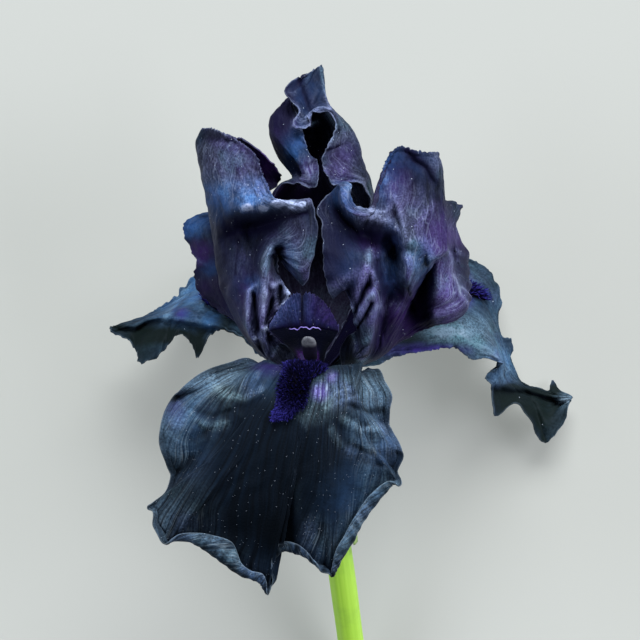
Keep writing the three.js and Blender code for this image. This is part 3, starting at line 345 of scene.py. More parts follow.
standardRight = {
    "from": 84, "to": 36, "width": 80, "length": 95,
    "across": [0, 0.1, 0.2, 0.3, 0.42, 0.52, 0.6, 0.68, 0.76, 0.84, 0.92, 1],
    "lines": [
        [[0.1, 17.5, -9.3, 3], [0.18, 26.5, -5.2, 7], [0.24, 33, -2.2, 13], [0.28, 37, -1.3, 15],
            [0.32, 41.2, -0.2, 12.5], [0.36, 45, 4.3, 7], [0.42, 45.2, 9, 2], [0.48, 45, 15, 0],
            [0.53, 44.6, 20, -1], [0.57, 42.6, 24, 1], [0.62, 40.8, 29, 3], [0.67, 43.2, 33.6, 1],
            [0.72, 41.2, 35.3, 3], [0.77, 36.5, 37.4, 6], [0.83, 32, 42, 9], [0.9, 31, 46, 12],
            [1, 33, 50, 17]],
        [[0.1, 17.6, -9.8, 6.5], [0.2, 28, -3, 11], [0.28, 35, 2, 19], [0.36, 42.2, 6.6, 14],
            [0.42, 40.9, 11, 15], [0.48, 39.7, 15.5, 16], [0.55, 38.8, 21, 17], [0.62, 38, 28, 13],
            [0.7, 39, 33.8, 9], [0.77, 36, 36, 11], [0.85, 34, 42, 13], [1, 35, 50, 19]],
        [[0.1, 18, -11, 9], [0.2, 26, -3, 12], [0.28, 32.3, 3, 17], [0.36, 35.5, 7, 22],
            [0.45, 35.5, 14, 23.5], [0.55, 36.5, 21, 24.5], [0.65, 37, 29, 22], [0.75, 37, 36, 20],
            [0.85, 36.4, 44, 21], [1, 35.2, 50.4, 23]],
        [[0.1, 17.8, -11, 13], [0.2, 24, -2, 15], [0.3, 28.5, 6, 17], [0.4, 31.5, 12, 19],
            [0.5, 34, 18, 23], [0.58, 37.2, 23, 28], [0.68, 37.9, 31, 28], [0.78, 36.8, 39, 28],
            [0.9, 36.4, 46, 28], [1, 34.6, 50.2, 28]],
        [[0.1, 17.2, -11.4, 16], [0.2, 22, -3.5, 22], [0.3, 26.5, 5.5, 28], [0.4, 30, 12, 31.5],
            [0.5, 34, 17.6, 32], [0.57, 37.5, 21, 31.5], [0.64, 37.2, 27.5, 32], [0.74, 35.6, 35, 33],
            [0.83, 35.4, 41, 34], [0.91, 35.8, 46.5, 33.5], [1, 33.5, 50.2, 33]],
        [[0.1, 16.8, -11.2, 18.5], [0.2, 20.5, -3.5, 25], [0.3, 25.6, 6.5, 32], [0.4, 27.5, 14, 37.5],
            [0.5, 29.5, 20, 39], [0.6, 31, 27, 38.5], [0.7, 31.5, 33, 37], [0.8, 30.5, 40, 36],
            [0.9, 30.5, 46, 36], [1, 30.5, 50.4, 36]],
        [[0.1, 16.2, -11, 20], [0.2, 19.6, -3, 26], [0.3, 24.9, 6, 33], [0.4, 25.2, 13, 39],
            [0.5, 25.2, 20, 42], [0.58, 25, 25.6, 43], [0.66, 24.5, 31, 41], [0.76, 26.3, 38, 39],
            [0.88, 26.8, 46, 38], [1, 27.5, 51, 38]],
        [[0.1, 15.4, -11, 20.5], [0.2, 18.5, -3, 25], [0.3, 20.5, 6, 27.5], [0.4, 21.5, 14, 28.5],
            [0.5, 21.5, 21, 31], [0.57, 21.3, 26.8, 41], [0.63, 20.5, 30.5, 42.5], [0.7, 21, 35, 40.5],
            [0.8, 22.5, 41, 39], [0.9, 23.3, 47, 38.5], [1, 24.6, 52.1, 38.5]],
        [[0.1, 14.4, -10.6, 22], [0.2, 15.6, -3.5, 30], [0.3, 16.9, 4.2, 35], [0.38, 16.4, 11.5, 38.5],
            [0.46, 16.8, 18.5, 37], [0.52, 16.5, 23, 36], [0.57, 16.3, 28.4, 43], [0.63, 17, 31.5, 44],
            [0.7, 18, 36, 41.5], [0.8, 19.2, 41.5, 39.8], [0.9, 20.8, 47, 38.8], [1, 22.8, 51.4, 38.5]],
        [[0.1, 13.2, -10.5, 23], [0.2, 12.7, -3.5, 31.5], [0.28, 12, 3.5, 37], [0.36, 13, 12, 41],
            [0.44, 14, 18.5, 41.5], [0.5, 13, 24, 40], [0.55, 11.8, 28.6, 43.5], [0.6, 12.8, 31.2, 45.5],
            [0.66, 15.6, 33.4, 44], [0.74, 16.7, 38, 41.5], [0.84, 18.3, 43.4, 40], [1, 21.6, 50, 38.8]],
        [[0.08, 12, -10, 23], [0.15, 11.9, -4, 30], [0.22, 10.9, 1.5, 34], [0.27, 10.2, 6, 36.5],
            [0.31, 8.7, 9.5, 40], [0.36, 7.5, 12.5, 43], [0.42, 7.3, 19, 44], [0.48, 6.5, 26, 43],
            [0.53, 5, 32, 41.5], [0.56, 5.2, 36.5, 43], [0.585, 6.3, 39.3, 45], [0.61, 6.6, 36.2, 47],
            [0.64, 8.2, 33, 47.5], [0.67, 11.4, 31.2, 47], [0.71, 15.8, 32, 45], [0.76, 17.2, 37, 41.8],
            [0.82, 18.4, 42, 40.2], [0.9, 20.2, 47, 39], [1, 21.8, 50.5, 38.6]],
        [[0.04, 6.2, -13.9, 14], [0.08, 5.9, -9.5, 19.5], [0.12, 7.9, -5.2, 25], [0.15, 10.8, -3, 29],
            [0.19, 10.1, 0.3, 32], [0.23, 9.6, 3.5, 34], [0.27, 9, 6, 35.5], [0.3, 7.05, 9.3, 37],
            [0.33, 3.9, 6.6, 40], [0.36, 2.2, 10, 42.5], [0.4, 1, 16.2, 45], [0.45, 0.7, 24, 46],
            [0.49, 0.4, 30, 45.5], [0.52, -0.8, 34, 44], [0.545, 1.6, 36.8, 42], [0.57, 3.8, 39.2, 40.5],
            [0.595, 7, 41.5, 42], [0.62, 9.4, 40.3, 44], [0.64, 9, 37.5, 45.5], [0.67, 10.8, 34.6, 46],
            [0.7, 14.6, 32.8, 45], [0.74, 16.2, 36, 42], [0.8, 17.6, 40.5, 40.3], [0.9, 19.5, 47, 39],
            [1, 21, 49.5, 38.8]],
    ],
}

standardBack = {
    "from": -157, "to": -203, "width": 60, "length": 95,
    "across": [0, 0.12, 0.25, 0.37, 0.5, 0.63, 0.76, 0.88, 1],
    "lines": [
        [[0.2, -11, 4, -9.5], [0.33, -12.8, 18, -6], [0.42, -13, 28, 3], [0.5, -14, 36.5, 12],
            [0.54, -11.7, 40.5, 16], [0.57, -8, 41.6, 18.5], [0.6, -4.8, 40.2, 21], [0.63, -1.3, 40, 22.5],
            [0.66, -0.5, 43.5, 22], [0.69, -0.7, 47.6, 20.5], [0.73, -3.3, 50.2, 19], [0.78, -4.5, 54, 18],
            [0.83, -5.5, 58, 16], [0.87, -7, 62, 13], [0.91, -8.2, 65, 10], [1, -8.5, 68, 8]],
        [[0.2, -11.5, 5, -11.5], [0.4, -14, 26, -1], [0.48, -13, 38, 10], [0.53, -9, 42, 13.5],
            [0.57, -5.5, 43.5, 16], [0.62, -7, 47, 18], [0.7, -10.5, 53, 17], [0.78, -11, 59, 15],
            [0.86, -10, 64, 11], [1, -7.5, 68.5, 7.5]],
        [[0.2, -10.5, 6, -13], [0.35, -13.8, 22, -8], [0.45, -13.8, 37.2, 6], [0.49, -10.5, 41.3, 9],
            [0.515, -6.4, 43, 11], [0.54, -8.5, 44.8, 11], [0.58, -12, 48.3, 11], [0.62, -14, 52.5, 11.5],
            [0.66, -15.3, 56.5, 11.5], [0.72, -14.8, 60.8, 11], [0.78, -12, 64.3, 10],
            [0.86, -9.6, 66.8, 8], [1, -6, 69.5, 6.8]],
        [[0.2, -6.5, 7, -14], [0.4, -9, 28, -8], [0.5, -4.5, 42, 2], [0.6, -8, 50, 4], [0.7, -9, 57, 5],
            [0.85, -6, 66, 5.5], [1, -4, 71.5, 6.5]],
        [[0.2, 0, 7.5, -14.5], [0.4, 1, 28, -10], [0.55, 0, 46, -2], [0.7, -1, 57, 2], [0.85, -2, 66, 5],
            [1, -2, 74, 7.5]],
        [[0.2, 6, 7, -14], [0.4, 11, 28, -8], [0.55, 9, 46, 2], [0.7, 4.5, 58, 5], [0.8, 1, 65, 7],
            [0.9, -1, 70, 8], [1, -0.3, 75.5, 8.8]],
        [[0.2, 9.5, 6, -13], [0.4, 16, 30, -3], [0.48, 15, 42, 8], [0.54, 13.2, 47, 12], [0.62, 11, 54, 13],
            [0.68, 8.3, 59.2, 12.5], [0.73, 5.2, 62.2, 12], [0.78, 2.8, 64.5, 12], [0.85, 1.4, 68.5, 12],
            [0.93, 0.9, 73, 11], [1, 0.5, 76.8, 10]],
        [[0.2, 10.5, 5, -11.5], [0.4, 15.5, 30, 2], [0.48, 13.5, 41, 13.5], [0.54, 8.5, 45, 19],
            [0.62, 6.5, 50, 19], [0.7, 7, 57, 17.5], [0.75, 3.6, 63, 16], [0.8, -0.5, 64, 16],
            [0.85, -3.5, 62.5, 16.5], [0.9, -4.2, 65, 15.5], [0.95, -5, 69, 14.5], [1, -2.4, 75, 12]],
        [[0.2, 10, 4, -9.5], [0.32, 13.5, 18, -4], [0.42, 15.5, 34, 11], [0.48, 13, 40.5, 17],
            [0.52, 7.5, 41.4, 21], [0.55, 3.9, 40.3, 22.5], [0.58, 2.2, 43, 22], [0.62, 0.4, 47.5, 20.5],
            [0.65, 1.6, 51, 19.5], [0.68, 3.4, 54.6, 18.5], [0.71, 4.7, 58.3, 17.5], [0.74, 2.8, 62.6, 17],
            [0.77, -1.2, 63, 18], [0.8, -3.9, 61.2, 18.5], [0.83, -3, 58.3, 19.5], [0.86, -7.6, 57.6, 19.5],
            [0.89, -8.1, 60, 18.5], [0.91, -6.4, 62.7, 17.5], [0.94, -9, 66.2, 16.5],
            [0.96, -10.8, 69, 15.5], [0.98, -8, 72.3, 14.5], [1, -4.8, 73, 13.5]],
    ],
}

fallLeft = {
    "from": -97, "to": -143, "width": 45, "length": 75,
    "across": [0, 0.2, 0.45, 0.72, 0.9, 1],
    "lines": [
        [[0.2, -18.3, -10.8, -1], [0.3, -24, -4.8, -6], [0.38, -30, -2.6, -10], [0.44, -34, -6, -11],
            [0.48, -36.9, -11.6, -11], [0.53, -38.6, -7.6, -13.5], [0.6, -42.4, -4.4, -17],
            [0.68, -46.2, -8.1, -18], [0.74, -49.5, -11.4, -18], [0.8, -54.6, -12.9, -19],
            [0.86, -55.4, -9.9, -21.5], [0.92, -58, -6.3, -24], [1, -63.4, -3.6, -26.5]],
        [[0.2, -17.5, -8, -3], [0.4, -31, -1.6, -11.5], [0.55, -38.5, -0.6, -16], [0.68, -44.6, 0.4, -20],
            [0.8, -50.5, -0.4, -24], [0.9, -56, -2, -26.5], [1, -63.5, -3, -27.2]],
        [[0.2, -16.5, -6, -5], [0.4, -30, 2, -16], [0.6, -39, 5, -24], [0.8, -50, 1, -30],
            [1, -63.5, -2.7, -27.8]],
        [[0.2, -14.5, -4, -10], [0.4, -27, 7, -25], [0.6, -36.5, 9, -36], [0.8, -48.5, 2.8, -35.5],
            [1, -63.4, -2.5, -28.2]],
        [[0.15, -11, -6.8, -12.5], [0.3, -18.5, 4.5, -27.5], [0.42, -23.5, 11.5, -41],
            [0.47, -25.5, 14.2, -49.3], [0.5, -27.5, 15, -49.8], [0.54, -31, 15, -49.8],
            [0.57, -33, 14.6, -48.9], [0.65, -37.7, 12.2, -44.5], [0.72, -41.4, 8.6, -41.5],
            [0.8, -46.6, 4.7, -38.6], [0.9, -53, 0.8, -34], [1, -63.4, -2.3, -28.5]],
        [[0.15, -9, -8, -14], [0.3, -15, 4, -32], [0.42, -21, 14.5, -46], [0.46, -23, 18.2, -49.8],
            [0.5, -26, 19.6, -49.8], [0.54, -30, 19.2, -49.8], [0.57, -32.5, 17.6, -49.3],
            [0.65, -38.1, 13.8, -46], [0.72, -42, 9, -43], [0.8, -46, 5.4, -39.5], [0.86, -50, 3, -36.5],
            [0.93, -55.5, -1.6, -31], [1, -63.3, -2.2, -28.6]],
    ],
}

fallRight = {
    "from": 97, "to": 143, "width": 45, "length": 95,
    "across": [0, 0.2, 0.45, 0.72, 0.9, 1],
    "lines": [
        [[0.12, 17.5, -13.6, -2], [0.18, 21, -11.6, -5], [0.25, 27, -10, -8], [0.33, 33, -9.3, -11],
            [0.38, 36, -8.6, -13], [0.43, 40.5, -8.3, -15.5], [0.47, 43, -10, -17], [0.51, 46, -12, -18],
            [0.56, 50.5, -11.6, -22], [0.6, 54.8, -13.4, -27], [0.64, 53, -15.2, -28], [0.68, 50, -17, -27],
            [0.72, 51.6, -20, -27.5], [0.77, 53, -29.2, -29], [0.82, 59, -25.3, -34],
            [0.87, 63.5, -30.6, -38], [0.92, 67.8, -37.4, -41], [0.96, 73.5, -32, -42], [1, 76, -24, -43]],
        [[0.15, 18, -10, -3.5], [0.3, 31, -6, -9], [0.42, 40, -4, -14], [0.5, 47, -6.5, -19.5],
            [0.58, 52.5, -9.5, -25], [0.65, 54.6, -13.2, -29.5], [0.72, 54.5, -17.5, -31.5],
            [0.78, 57, -21.5, -34], [0.86, 63.5, -25, -39], [0.93, 69.5, -28.5, -42.5],
            [1, 76.2, -24, -43.4]],
        [[0.15, 17, -7, -6], [0.3, 30, -1, -14], [0.42, 40, 3, -21], [0.52, 48, 1, -27], [0.6, 53, -5, -31],
            [0.68, 55.4, -11.5, -34], [0.76, 57, -17, -36.5], [0.84, 62, -21.5, -40],
            [0.92, 69, -24.5, -44], [1, 76.3, -23.8, -43.8]],
        [[0.15, 14, -3, -12], [0.3, 28, 7, -28], [0.42, 41, 12.5, -38], [0.52, 49.5, 9, -39.5],
            [0.6, 52.5, 3, -37.5], [0.68, 54, -4.5, -37], [0.76, 56.8, -11.5, -39.5],
            [0.84, 60.3, -18.3, -41.8], [0.92, 67.8, -21.6, -45], [1, 76.4, -23.6, -44.2]],
        [[0.12, 10, -4.8, -14.5], [0.25, 23, 7.5, -32.5], [0.33, 31, 12.8, -43], [0.37, 35.5, 15.6, -49.8],
            [0.4, 38.3, 16.3, -49.85], [0.43, 41.5, 16.5, -49.8], [0.48, 46.3, 15.4, -46.5],
            [0.54, 50.6, 12.4, -43.6], [0.6, 53.2, 7, -40.2], [0.67, 54, -0.5, -38.6],
            [0.73, 55.4, -7, -39.6], [0.8, 58, -12.2, -41.8], [0.86, 61, -18.8, -42.2],
            [0.93, 69, -21.9, -45.6], [1, 76.5, -23.5, -44.4]],
        [[0.12, 8, -6, -16], [0.25, 20, 8, -36], [0.33, 29.5, 16.2, -47.4], [0.37, 34.5, 19, -49.8],
            [0.4, 38, 20.5, -49.85], [0.43, 41, 20.3, -49.8], [0.48, 46, 18.4, -48], [0.54, 51, 15.2, -46],
            [0.58, 53, 12, -44.5], [0.62, 54.6, 7.6, -42], [0.67, 53.8, 2, -39.5], [0.7, 52.8, -1.6, -39],
            [0.73, 55, -5, -40], [0.76, 57.6, -5.6, -42], [0.79, 58.2, -8.5, -42.5],
            [0.82, 56.6, -12.8, -41], [0.86, 59.5, -18.5, -42.5], [0.9, 64.5, -20.3, -44.5],
            [0.93, 69.5, -21.8, -46], [0.96, 70.6, -18.2, -48], [0.98, 73, -21.5, -46],
            [1, 76.5, -23.4, -44.5]],
    ],
}

# Front fall: margin points [x, y, z, width of the rolled rim] round from its left shoulder
frontRim = [
    [-15.9, -14.4, 22, 0], [-21.6, -11.4, 31, 0], [-27, -12.6, 36, 0], [-34.8, -15.3, 39, 0],
    [-40.8, -19.8, 40, 0], [-43.8, -22.5, 36, 0], [-46.5, -27, 39, 0], [-48, -32.7, 42, 0],
    [-48, -38.1, 41, 0], [-45.9, -43.8, 37, 0], [-45, -47.1, 35, 0], [-46.5, -51.6, 37, 0],
    [-49.8, -54.3, 38, 0], [-51.9, -56.1, 38.5, 0], [-50.1, -57.8, 40, 0], [-50.1, -61.5, 41, 0],
    [-48.5, -64.8, 41, 0.3], [-46.5, -67.2, 40, 0.8], [-43.2, -66, 38.5, 2], [-38.7, -66.6, 37.5, 3],
    [-34.8, -68.7, 37, 4], [-29.4, -72.6, 36, 5], [-24.9, -75.9, 35, 3], [-21.5, -77.4, 34.5, 2.4],
    [-18.3, -78.6, 34, 2.6], [-17, -80.5, 33.5, 2], [-15.6, -82.5, 33, 0.6], [-14.6, -80, 33.2, 0.3],
    [-14.5, -77, 34, 0.3], [-14.6, -74.5, 35, 0.8], [-13.4, -71.4, 36, 2], [-11.1, -69.3, 36.5, 2.8],
    [-7.2, -69.9, 37, 2.6], [-3.9, -71.4, 37, 1.8], [-0.9, -74.1, 36.5, 1], [1.5, -75.8, 36, 0.5],
    [3.6, -76.8, 36, 1.2], [5.1, -74.7, 36.5, 2.6], [6.9, -70.8, 37, 3], [9.6, -66.9, 37.5, 3.2],
    [12.3, -61.5, 38, 3], [16.2, -55.8, 38.5, 3], [20.7, -50.4, 39, 2.2], [22.2, -49.2, 39, 1.2],
    [24.3, -49.5, 39, 0.4], [24.3, -47.7, 38, 0.1], [23.4, -45.3, 37.5, 0], [24.9, -41.4, 40, 0],
    [24.6, -38.7, 41, 0], [22.8, -34.8, 39, 0], [21, -31.5, 37, 0], [21, -27, 40, 0], [21.6, -22.5, 41, 0],
    [19.5, -18.3, 37, 0], [18, -15, 30, 0], [14.5, -14.2, 23, 0],
]


# Petal material: tepal skin of tiny domed cells over anthocyanin, matte as velvet, with a pale veil that is
# partly its own colour and partly painted sheen, and painted highlight on raised parts
def petalMaterial(name, look):
    material, tree, shader = newMaterial(name)
    zone = {key: addNode(tree, "Attribute", None, "Fac", attribute_name=key)
            for key in ("rim", "side", "veil", "violet", "azure", "hollowShade", "crest")}
    body = addNode(tree, "TexCoord", None, "Object")
    onPetal = addNode(tree, "UVMap", None, "UV", uv_map="skin")

    # veins run from the claw to the margin and wander a little on their way
    drift = addNode(tree, "TexNoise",
        {"Vector": body, "Scale": 1 / (look["drift"] * mm), "Detail": 1.0}, "Color")
    wander = addNode(tree, "VectorMath",
        {0: drift, 1: (look["wander"], look["wander"], 0), 2: onPetal}, 0, operation="MULTIPLY_ADD")
    veinPlace = addNode(tree, "VectorMath",
        {0: wander, 1: (1 / look["veinSpacing"], 1 / look["veinLength"], 0)}, 0, operation="MULTIPLY")
    veins = addNode(tree, "TexNoise",
        {"Vector": veinPlace, "Scale": 0.45, "Detail": 4.0, "Roughness": 0.65}, "Fac")
    fine = addNode(tree, "TexNoise",
        {"Vector": veinPlace, "Scale": 1.0, "Detail": 1.0, "Roughness": 0.5}, "Fac")
    mottle = addNode(tree, "TexNoise",
        {"Vector": body, "Scale": 1 / (look["mottle"] * mm), "Detail": 5.0, "Roughness": 0.68}, "Fac")
    cells = addNode(tree, "TexNoise",
        {"Vector": body, "Scale": 1 / (look["cell"] * mm), "Detail": 1.0}, "Fac")
    glint = addNode(tree, "TexVoronoi", {"Vector": body, "Scale": 1 / (look["glintCell"] * mm)})

    veinShare = addNode(tree, "MapRange",
        {"Value": veins, "From Min": 0.36, "From Max": 0.66}, "Result", **smooth)
    mottleShare = addNode(tree, "MapRange",
        {"Value": mottle, "From Min": 0.36, "From Max": 0.64}, "Result", **smooth)
    cellShare = addNode(tree, "MapRange",
        {"Value": cells, "From Min": 0.3, "From Max": 0.7, "To Min": look["cellLow"],
         "To Max": look["cellHigh"]}, "Result")
    lineGap = addNode(tree, "Math", {0: fine, 1: 0.5}, 0, operation="SUBTRACT")
    lineFar = addNode(tree, "Math", {0: lineGap}, 0, operation="ABSOLUTE")
    lineShare = addNode(tree, "MapRange",
        {"Value": lineFar, "From Min": 0.0, "From Max": look["lineWidth"], "To Min": 1.0, "To Max": 0.0},
        "Result", **smooth)

    # dark skin with the azure zones, partly painted sheen, and the violet zones, partly painted light shining
    # through the thin blade, and another colour on the side that looks down
    azurePatch = addNode(tree, "Math", {0: mottleShare, 1: 0.65, 2: 0.35}, 0, operation="MULTIPLY_ADD")
    azureShare = addNode(tree, "Math", {0: zone["azure"], 1: azurePatch}, 0, operation="MULTIPLY")
    violetPatch = addNode(tree, "Math", {0: mottleShare, 1: -0.5, 2: 1.0}, 0, operation="MULTIPLY_ADD")
    violetShare = addNode(tree, "Math", {0: zone["violet"], 1: violetPatch}, 0, operation="MULTIPLY")
    skin = look["dark"]
    for share, colour in ((veinShare, "deep"), (azureShare, "azure"), (violetShare, "violet")):
        skin = addNode(tree, "Mix", {0: share, 6: skin, 7: look[colour]}, 2, **blend)
    under = addNode(tree, "Mix", {0: violetShare, 6: look["underDark"], 7: look["under"]}, 2, **blend)
    skin = addNode(tree, "Mix", {0: zone["side"], 6: under, 7: skin}, 2, **blend)

    # the veil, its own pale colour and painted sheen, lies in streaks and in patches, is painted highlight on
    # crests, and turns slowly towards teal and plum
    veilStreak = addNode(tree, "Math", {0: veinShare, 1: look["streak"], 2: look["haze"]}, 0,
        operation="MULTIPLY_ADD")
    veilPatch = addNode(tree, "Math", {0: mottleShare, 1: look["patch"], 2: veilStreak}, 0,
        operation="MULTIPLY_ADD")
    veilShare = addNode(tree, "Math", {0: zone["veil"], 1: veilPatch}, 0, operation="MULTIPLY")
    veilAndCrestHighlight = addNode(tree, "Math", {0: zone["crest"], 1: look["crest"], 2: veilShare}, 0,
        operation="MULTIPLY_ADD")
    hue = addNode(tree, "SeparateColor", {"Color": drift})
    tealShare = addNode(tree, "MapRange",
        {"Value": hue.outputs["Green"], "From Min": 0.48, "From Max": 0.62, "To Max": look["hueTurn"]},
        "Result", **smooth)
    plumShare = addNode(tree, "MapRange",
        {"Value": hue.outputs["Blue"], "From Min": 0.5, "From Max": 0.64, "To Max": look["hueTurn"]},
        "Result", **smooth)
    veilSkin = look["veil"]
    for share, colour in ((tealShare, "veilTeal"), (plumShare, "veilPlum"), (azureShare, "veilAzure"),
                          (violetShare, "veilViolet")):
        veilSkin = addNode(tree, "Mix", {0: share, 6: veilSkin, 7: look[colour]}, 2, **blend)

    # its strongest part as painted highlight, its pale lines, painted shade in hollows, the pale rim and
    # painted glints of single cells
    highlightShare = addNode(tree, "MapRange",
        {"Value": zone["veil"], "From Min": 0.9, "From Max": 1.5, "To Max": look["highlight"]},
        "Result", **smooth)
    lineFaint = addNode(tree, "Math", {0: lineShare, 1: look["line"]}, 0, operation="MULTIPLY")
    rimNear = addNode(tree, "MapRange",
        {"Value": zone["rim"], "From Min": 0.1, "From Max": look["rimWidth"], "To Min": look["rimStrength"],
         "To Max": 0.0}, "Result", **smooth)
    rimBroken = addNode(tree, "Math", {0: mottleShare, 1: 0.6, 2: 0.4}, 0, operation="MULTIPLY_ADD")
    glintPick = addNode(tree, "SeparateColor", {"Color": glint.outputs["Color"]}, "Red")
    glintRare = addNode(tree, "Math", {0: glintPick, 1: look["glintRare"]}, 0, operation="GREATER_THAN")
    glintSmall = addNode(tree, "Math", {0: glint.outputs["Distance"], 1: look["glintSize"]}, 0,
        operation="LESS_THAN")
    glintShare = addNode(tree, "Math", {0: glintRare, 1: glintSmall}, 0, operation="MULTIPLY")
    # colour laid on, its two factors, and whether their product is kept within 0 and 1
    layers = (
        (veilSkin, veilAndCrestHighlight, cellShare, True), (look["pale"], highlightShare, cellShare, True),
        (look["pale"], lineFaint, zone["veil"], True), (look["night"], zone["hollowShade"], look["shade"], True),
        (look["pale"], rimNear, rimBroken, False), (look["glintColour"], glintShare, look["glint"], False))
    for colour, first, second, kept in layers:
        share = addNode(tree, "Math", {0: first, 1: second}, 0, operation="MULTIPLY", use_clamp=kept)
        skin = addNode(tree, "Mix", {0: share, 6: skin, 7: colour}, 2, **blend)

    rough = addNode(tree, "Math", {0: mottleShare, 1: 0.12, 2: look["roughness"]}, 0,
        operation="MULTIPLY_ADD")
    veinHigh = addNode(tree, "Math", {0: veins, 1: look["veinRelief"]}, 0, operation="MULTIPLY")
    lineHigh = addNode(tree, "Math", {0: lineShare, 1: look["lineRelief"], 2: veinHigh}, 0,
        operation="MULTIPLY_ADD")
    cellHigh = addNode(tree, "Math", {0: cells, 1: look["cellRelief"], 2: lineHigh}, 0,
        operation="MULTIPLY_ADD")
    bump = addNode(tree, "Bump", {"Height": cellHigh, "Strength": 1.0, "Distance": mm}, "Normal")
    fillInputs(tree, shader, {
        "Base Color": skin, "Roughness": rough, "Normal": bump, "IOR": look["ior"],
        "Specular IOR Level": look["specular"], "Specular Tint": look["specularTint"],
        "Sheen Weight": look["sheen"], "Sheen Roughness": look["sheenRoughness"],
        "Sheen Tint": look["sheenTint"]})
    return material


# the dark of painted shade in hollows, painted highlights on the strongest veil and on crests, and painted
# glints of single cells are set here along with the skin's own colours
petalLook = {
    "veinSpacing": 1.1, "veinLength": 11.0, "drift": 14.0, "wander": 4.0,  # millimetres
    "mottle": 7.0, "cell": 0.65, "glintCell": 0.5,  # the real cells are ten times finer and would not show
    "dark": "#070a11", "deep": "#0f1528", "night": "#0c0a20", "azure": "#23477c", "violet": "#2b114a",
    "veil": "#515873", "veilTeal": "#446670", "veilPlum": "#4f477a", "hueTurn": 0.6, "veilAzure": "#5078aa",
    "veilViolet": "#544882", "pale": "#98a5c4", "highlight": 0.8,
    "streak": 0.55, "haze": 0.3, "patch": 0.4, "crest": 0.32, "shade": 0.95,
    "cellLow": 0.4, "cellHigh": 1.65, "line": 0.35, "lineWidth": 0.035,
    "under": "#472069", "underDark": "#10091c", "rimWidth": 0.4, "rimStrength": 0.18,
    "glint": 0.45, "glintRare": 0.988, "glintSize": 0.28, "glintColour": "#c9d6e8",
    "roughness": 0.5, "ior": 1.45, "specular": 0.06, "specularTint": "#d4e2ff",
    "sheen": 0.04, "sheenRoughness": 0.45, "sheenTint": "#93a9e8",
    "veinRelief": 0.09, "lineRelief": 0.012, "cellRelief": 0.09,
}
# each skin's veil below is partly its own paler colour and partly painted sheen
standardSkin = petalMaterial("tepal_velvet_violet", petalLook)  # velvet, violet-black with a lavender veil
fallSkin = petalMaterial("tepal_velvet_black", {  # the same, blue-black with a slate veil and more glints
    **petalLook, "dark": "#070b11", "deep": "#0d1723", "night": "#020406", "azure": "#243d5c",
    "violet": "#2b1c5c", "veil": "#4e6576", "veilTeal": "#52696c", "veilPlum": "#48567a", "pale": "#93a5b0",
    "sheen": 0.02, "specularTint": "#cfe4ff", "sheenTint": "#8fb4e0", "under": "#2c4056",
    "underDark": "#101a26", "veinSpacing": 1.0, "veinLength": 15.0, "wander": 6.0, "glintRare": 0.93,
    "glint": 0.5, "glintSize": 0.15, "streak": 1.15, "haze": -0.05, "patch": 0.3, "crest": 0.18,
    "line": 0.5, "veilAzure": "#3a5c80", "veilViolet": "#7567b4",
})
sideSkin = petalMaterial("tepal_velvet_slate", {  # the same skin, slate blue above and green-black below
    **petalLook, "dark": "#0a121c", "deep": "#142434", "night": "#0a110d", "azure": "#274a74",
    "violet": "#3a2a80", "veil": "#4c6475", "veilTeal": "#466a72", "veilPlum": "#4e5880",
    "veilAzure": "#466f99", "veilViolet": "#4a3f96", "pale": "#73899a", "under": "#1c1438",
    "underDark": "#0a1110", "veinSpacing": 1.8, "veinLength": 14.0, "glintRare": 0.998, "streak": 0.6,
    "line": 0.25,
})


def patches(points, spots):
    # soft patches: x, y, z, the radii along them, all in millimetres, and a strength
    total = np.zeros(points.shape[:2])
    for spot in spots:
        gap = np.linalg.norm((points - np.array(spot[:3])) / np.array(spot[3:6]), axis=-1)
        total += spot[6] * ease(1 - gap)
    return np.clip(total, 0, 1)


def sculpt(points, folds):
    # folds pressed into the face that looks up. Each is a line of (x, y) in millimetres with (height, width)
    # on its left and on its right, walking along it. Four numbers may follow: how soft the step between the
    # two is, a painted shading (highlight above zero, shade below), its width, and the height a point needs
    # to be moved
    plain = (0.6, 0, 1, 8)
    lift = np.zeros(points.shape[:2])
    foldShading = np.zeros(points.shape[:2])
    spot = points[..., :2]
    for line, (leftHigh, leftWide), (rightHigh, rightWide), *more in folds:
        soft, shadingHere, shadingWide, above = (*more, *plain[len(more):])
        line = np.array(line, float)
        best = np.full(lift.shape, 1e9)
        across = np.zeros(lift.shape)
        for start, end in zip(line[:-1], line[1:]):
            run = end - start
            long = np.linalg.norm(run)
            t = np.clip(((spot - start) @ run) / long**2, 0, 1)
            gap = spot - (start + t[..., None] * run)
            far = np.linalg.norm(gap, axis=-1)
            hand = (run[0] * gap[..., 1] - run[1] * gap[..., 0]) / long
            closer = far < best
            best = np.where(closer, far, best)
            across = np.where(closer, hand, across)
        mix = 0.5 + 0.5 * np.tanh(across / soft)
        push = (mix * leftHigh * np.exp(-(best / leftWide) ** 2)
                + (1 - mix) * rightHigh * np.exp(-(best / rightWide) ** 2))
        reach = ease((points[..., 2] - above) / 5)
        lift += push * reach
        foldShading += shadingHere * np.exp(-(best / shadingWide) ** 2) * reach
    moved = points.copy()
    moved[..., 2] += lift
    return moved, foldShading


def crumple(x, y, seed, wave, spread, count=12):
    # slow random waves whose ridges run roughly along the petal
    draw = np.random.default_rng(seed)
    total = 0
    for turn, long, phase in zip(draw.normal(0, spread, count), draw.uniform(0.6, 1.7, count) * wave,
                                 draw.uniform(0, 2 * math.pi, count)):
        total = total + np.sin(2 * math.pi * (x * math.cos(turn) + y * math.sin(turn)) / long + phase)
    return total / math.sqrt(count / 2)


frillSetup = {
    "reach": 2.0, "crimp": 0.4, "low": 9, "high": 26,  # depth and count of the margin's fine folds
    "dent": 8.0, "dentDepth": 0.14,  # millimetres
    "tooth": 0.22, "toothReach": 0.7,  # millimetres
    "fan": 0.5,
}


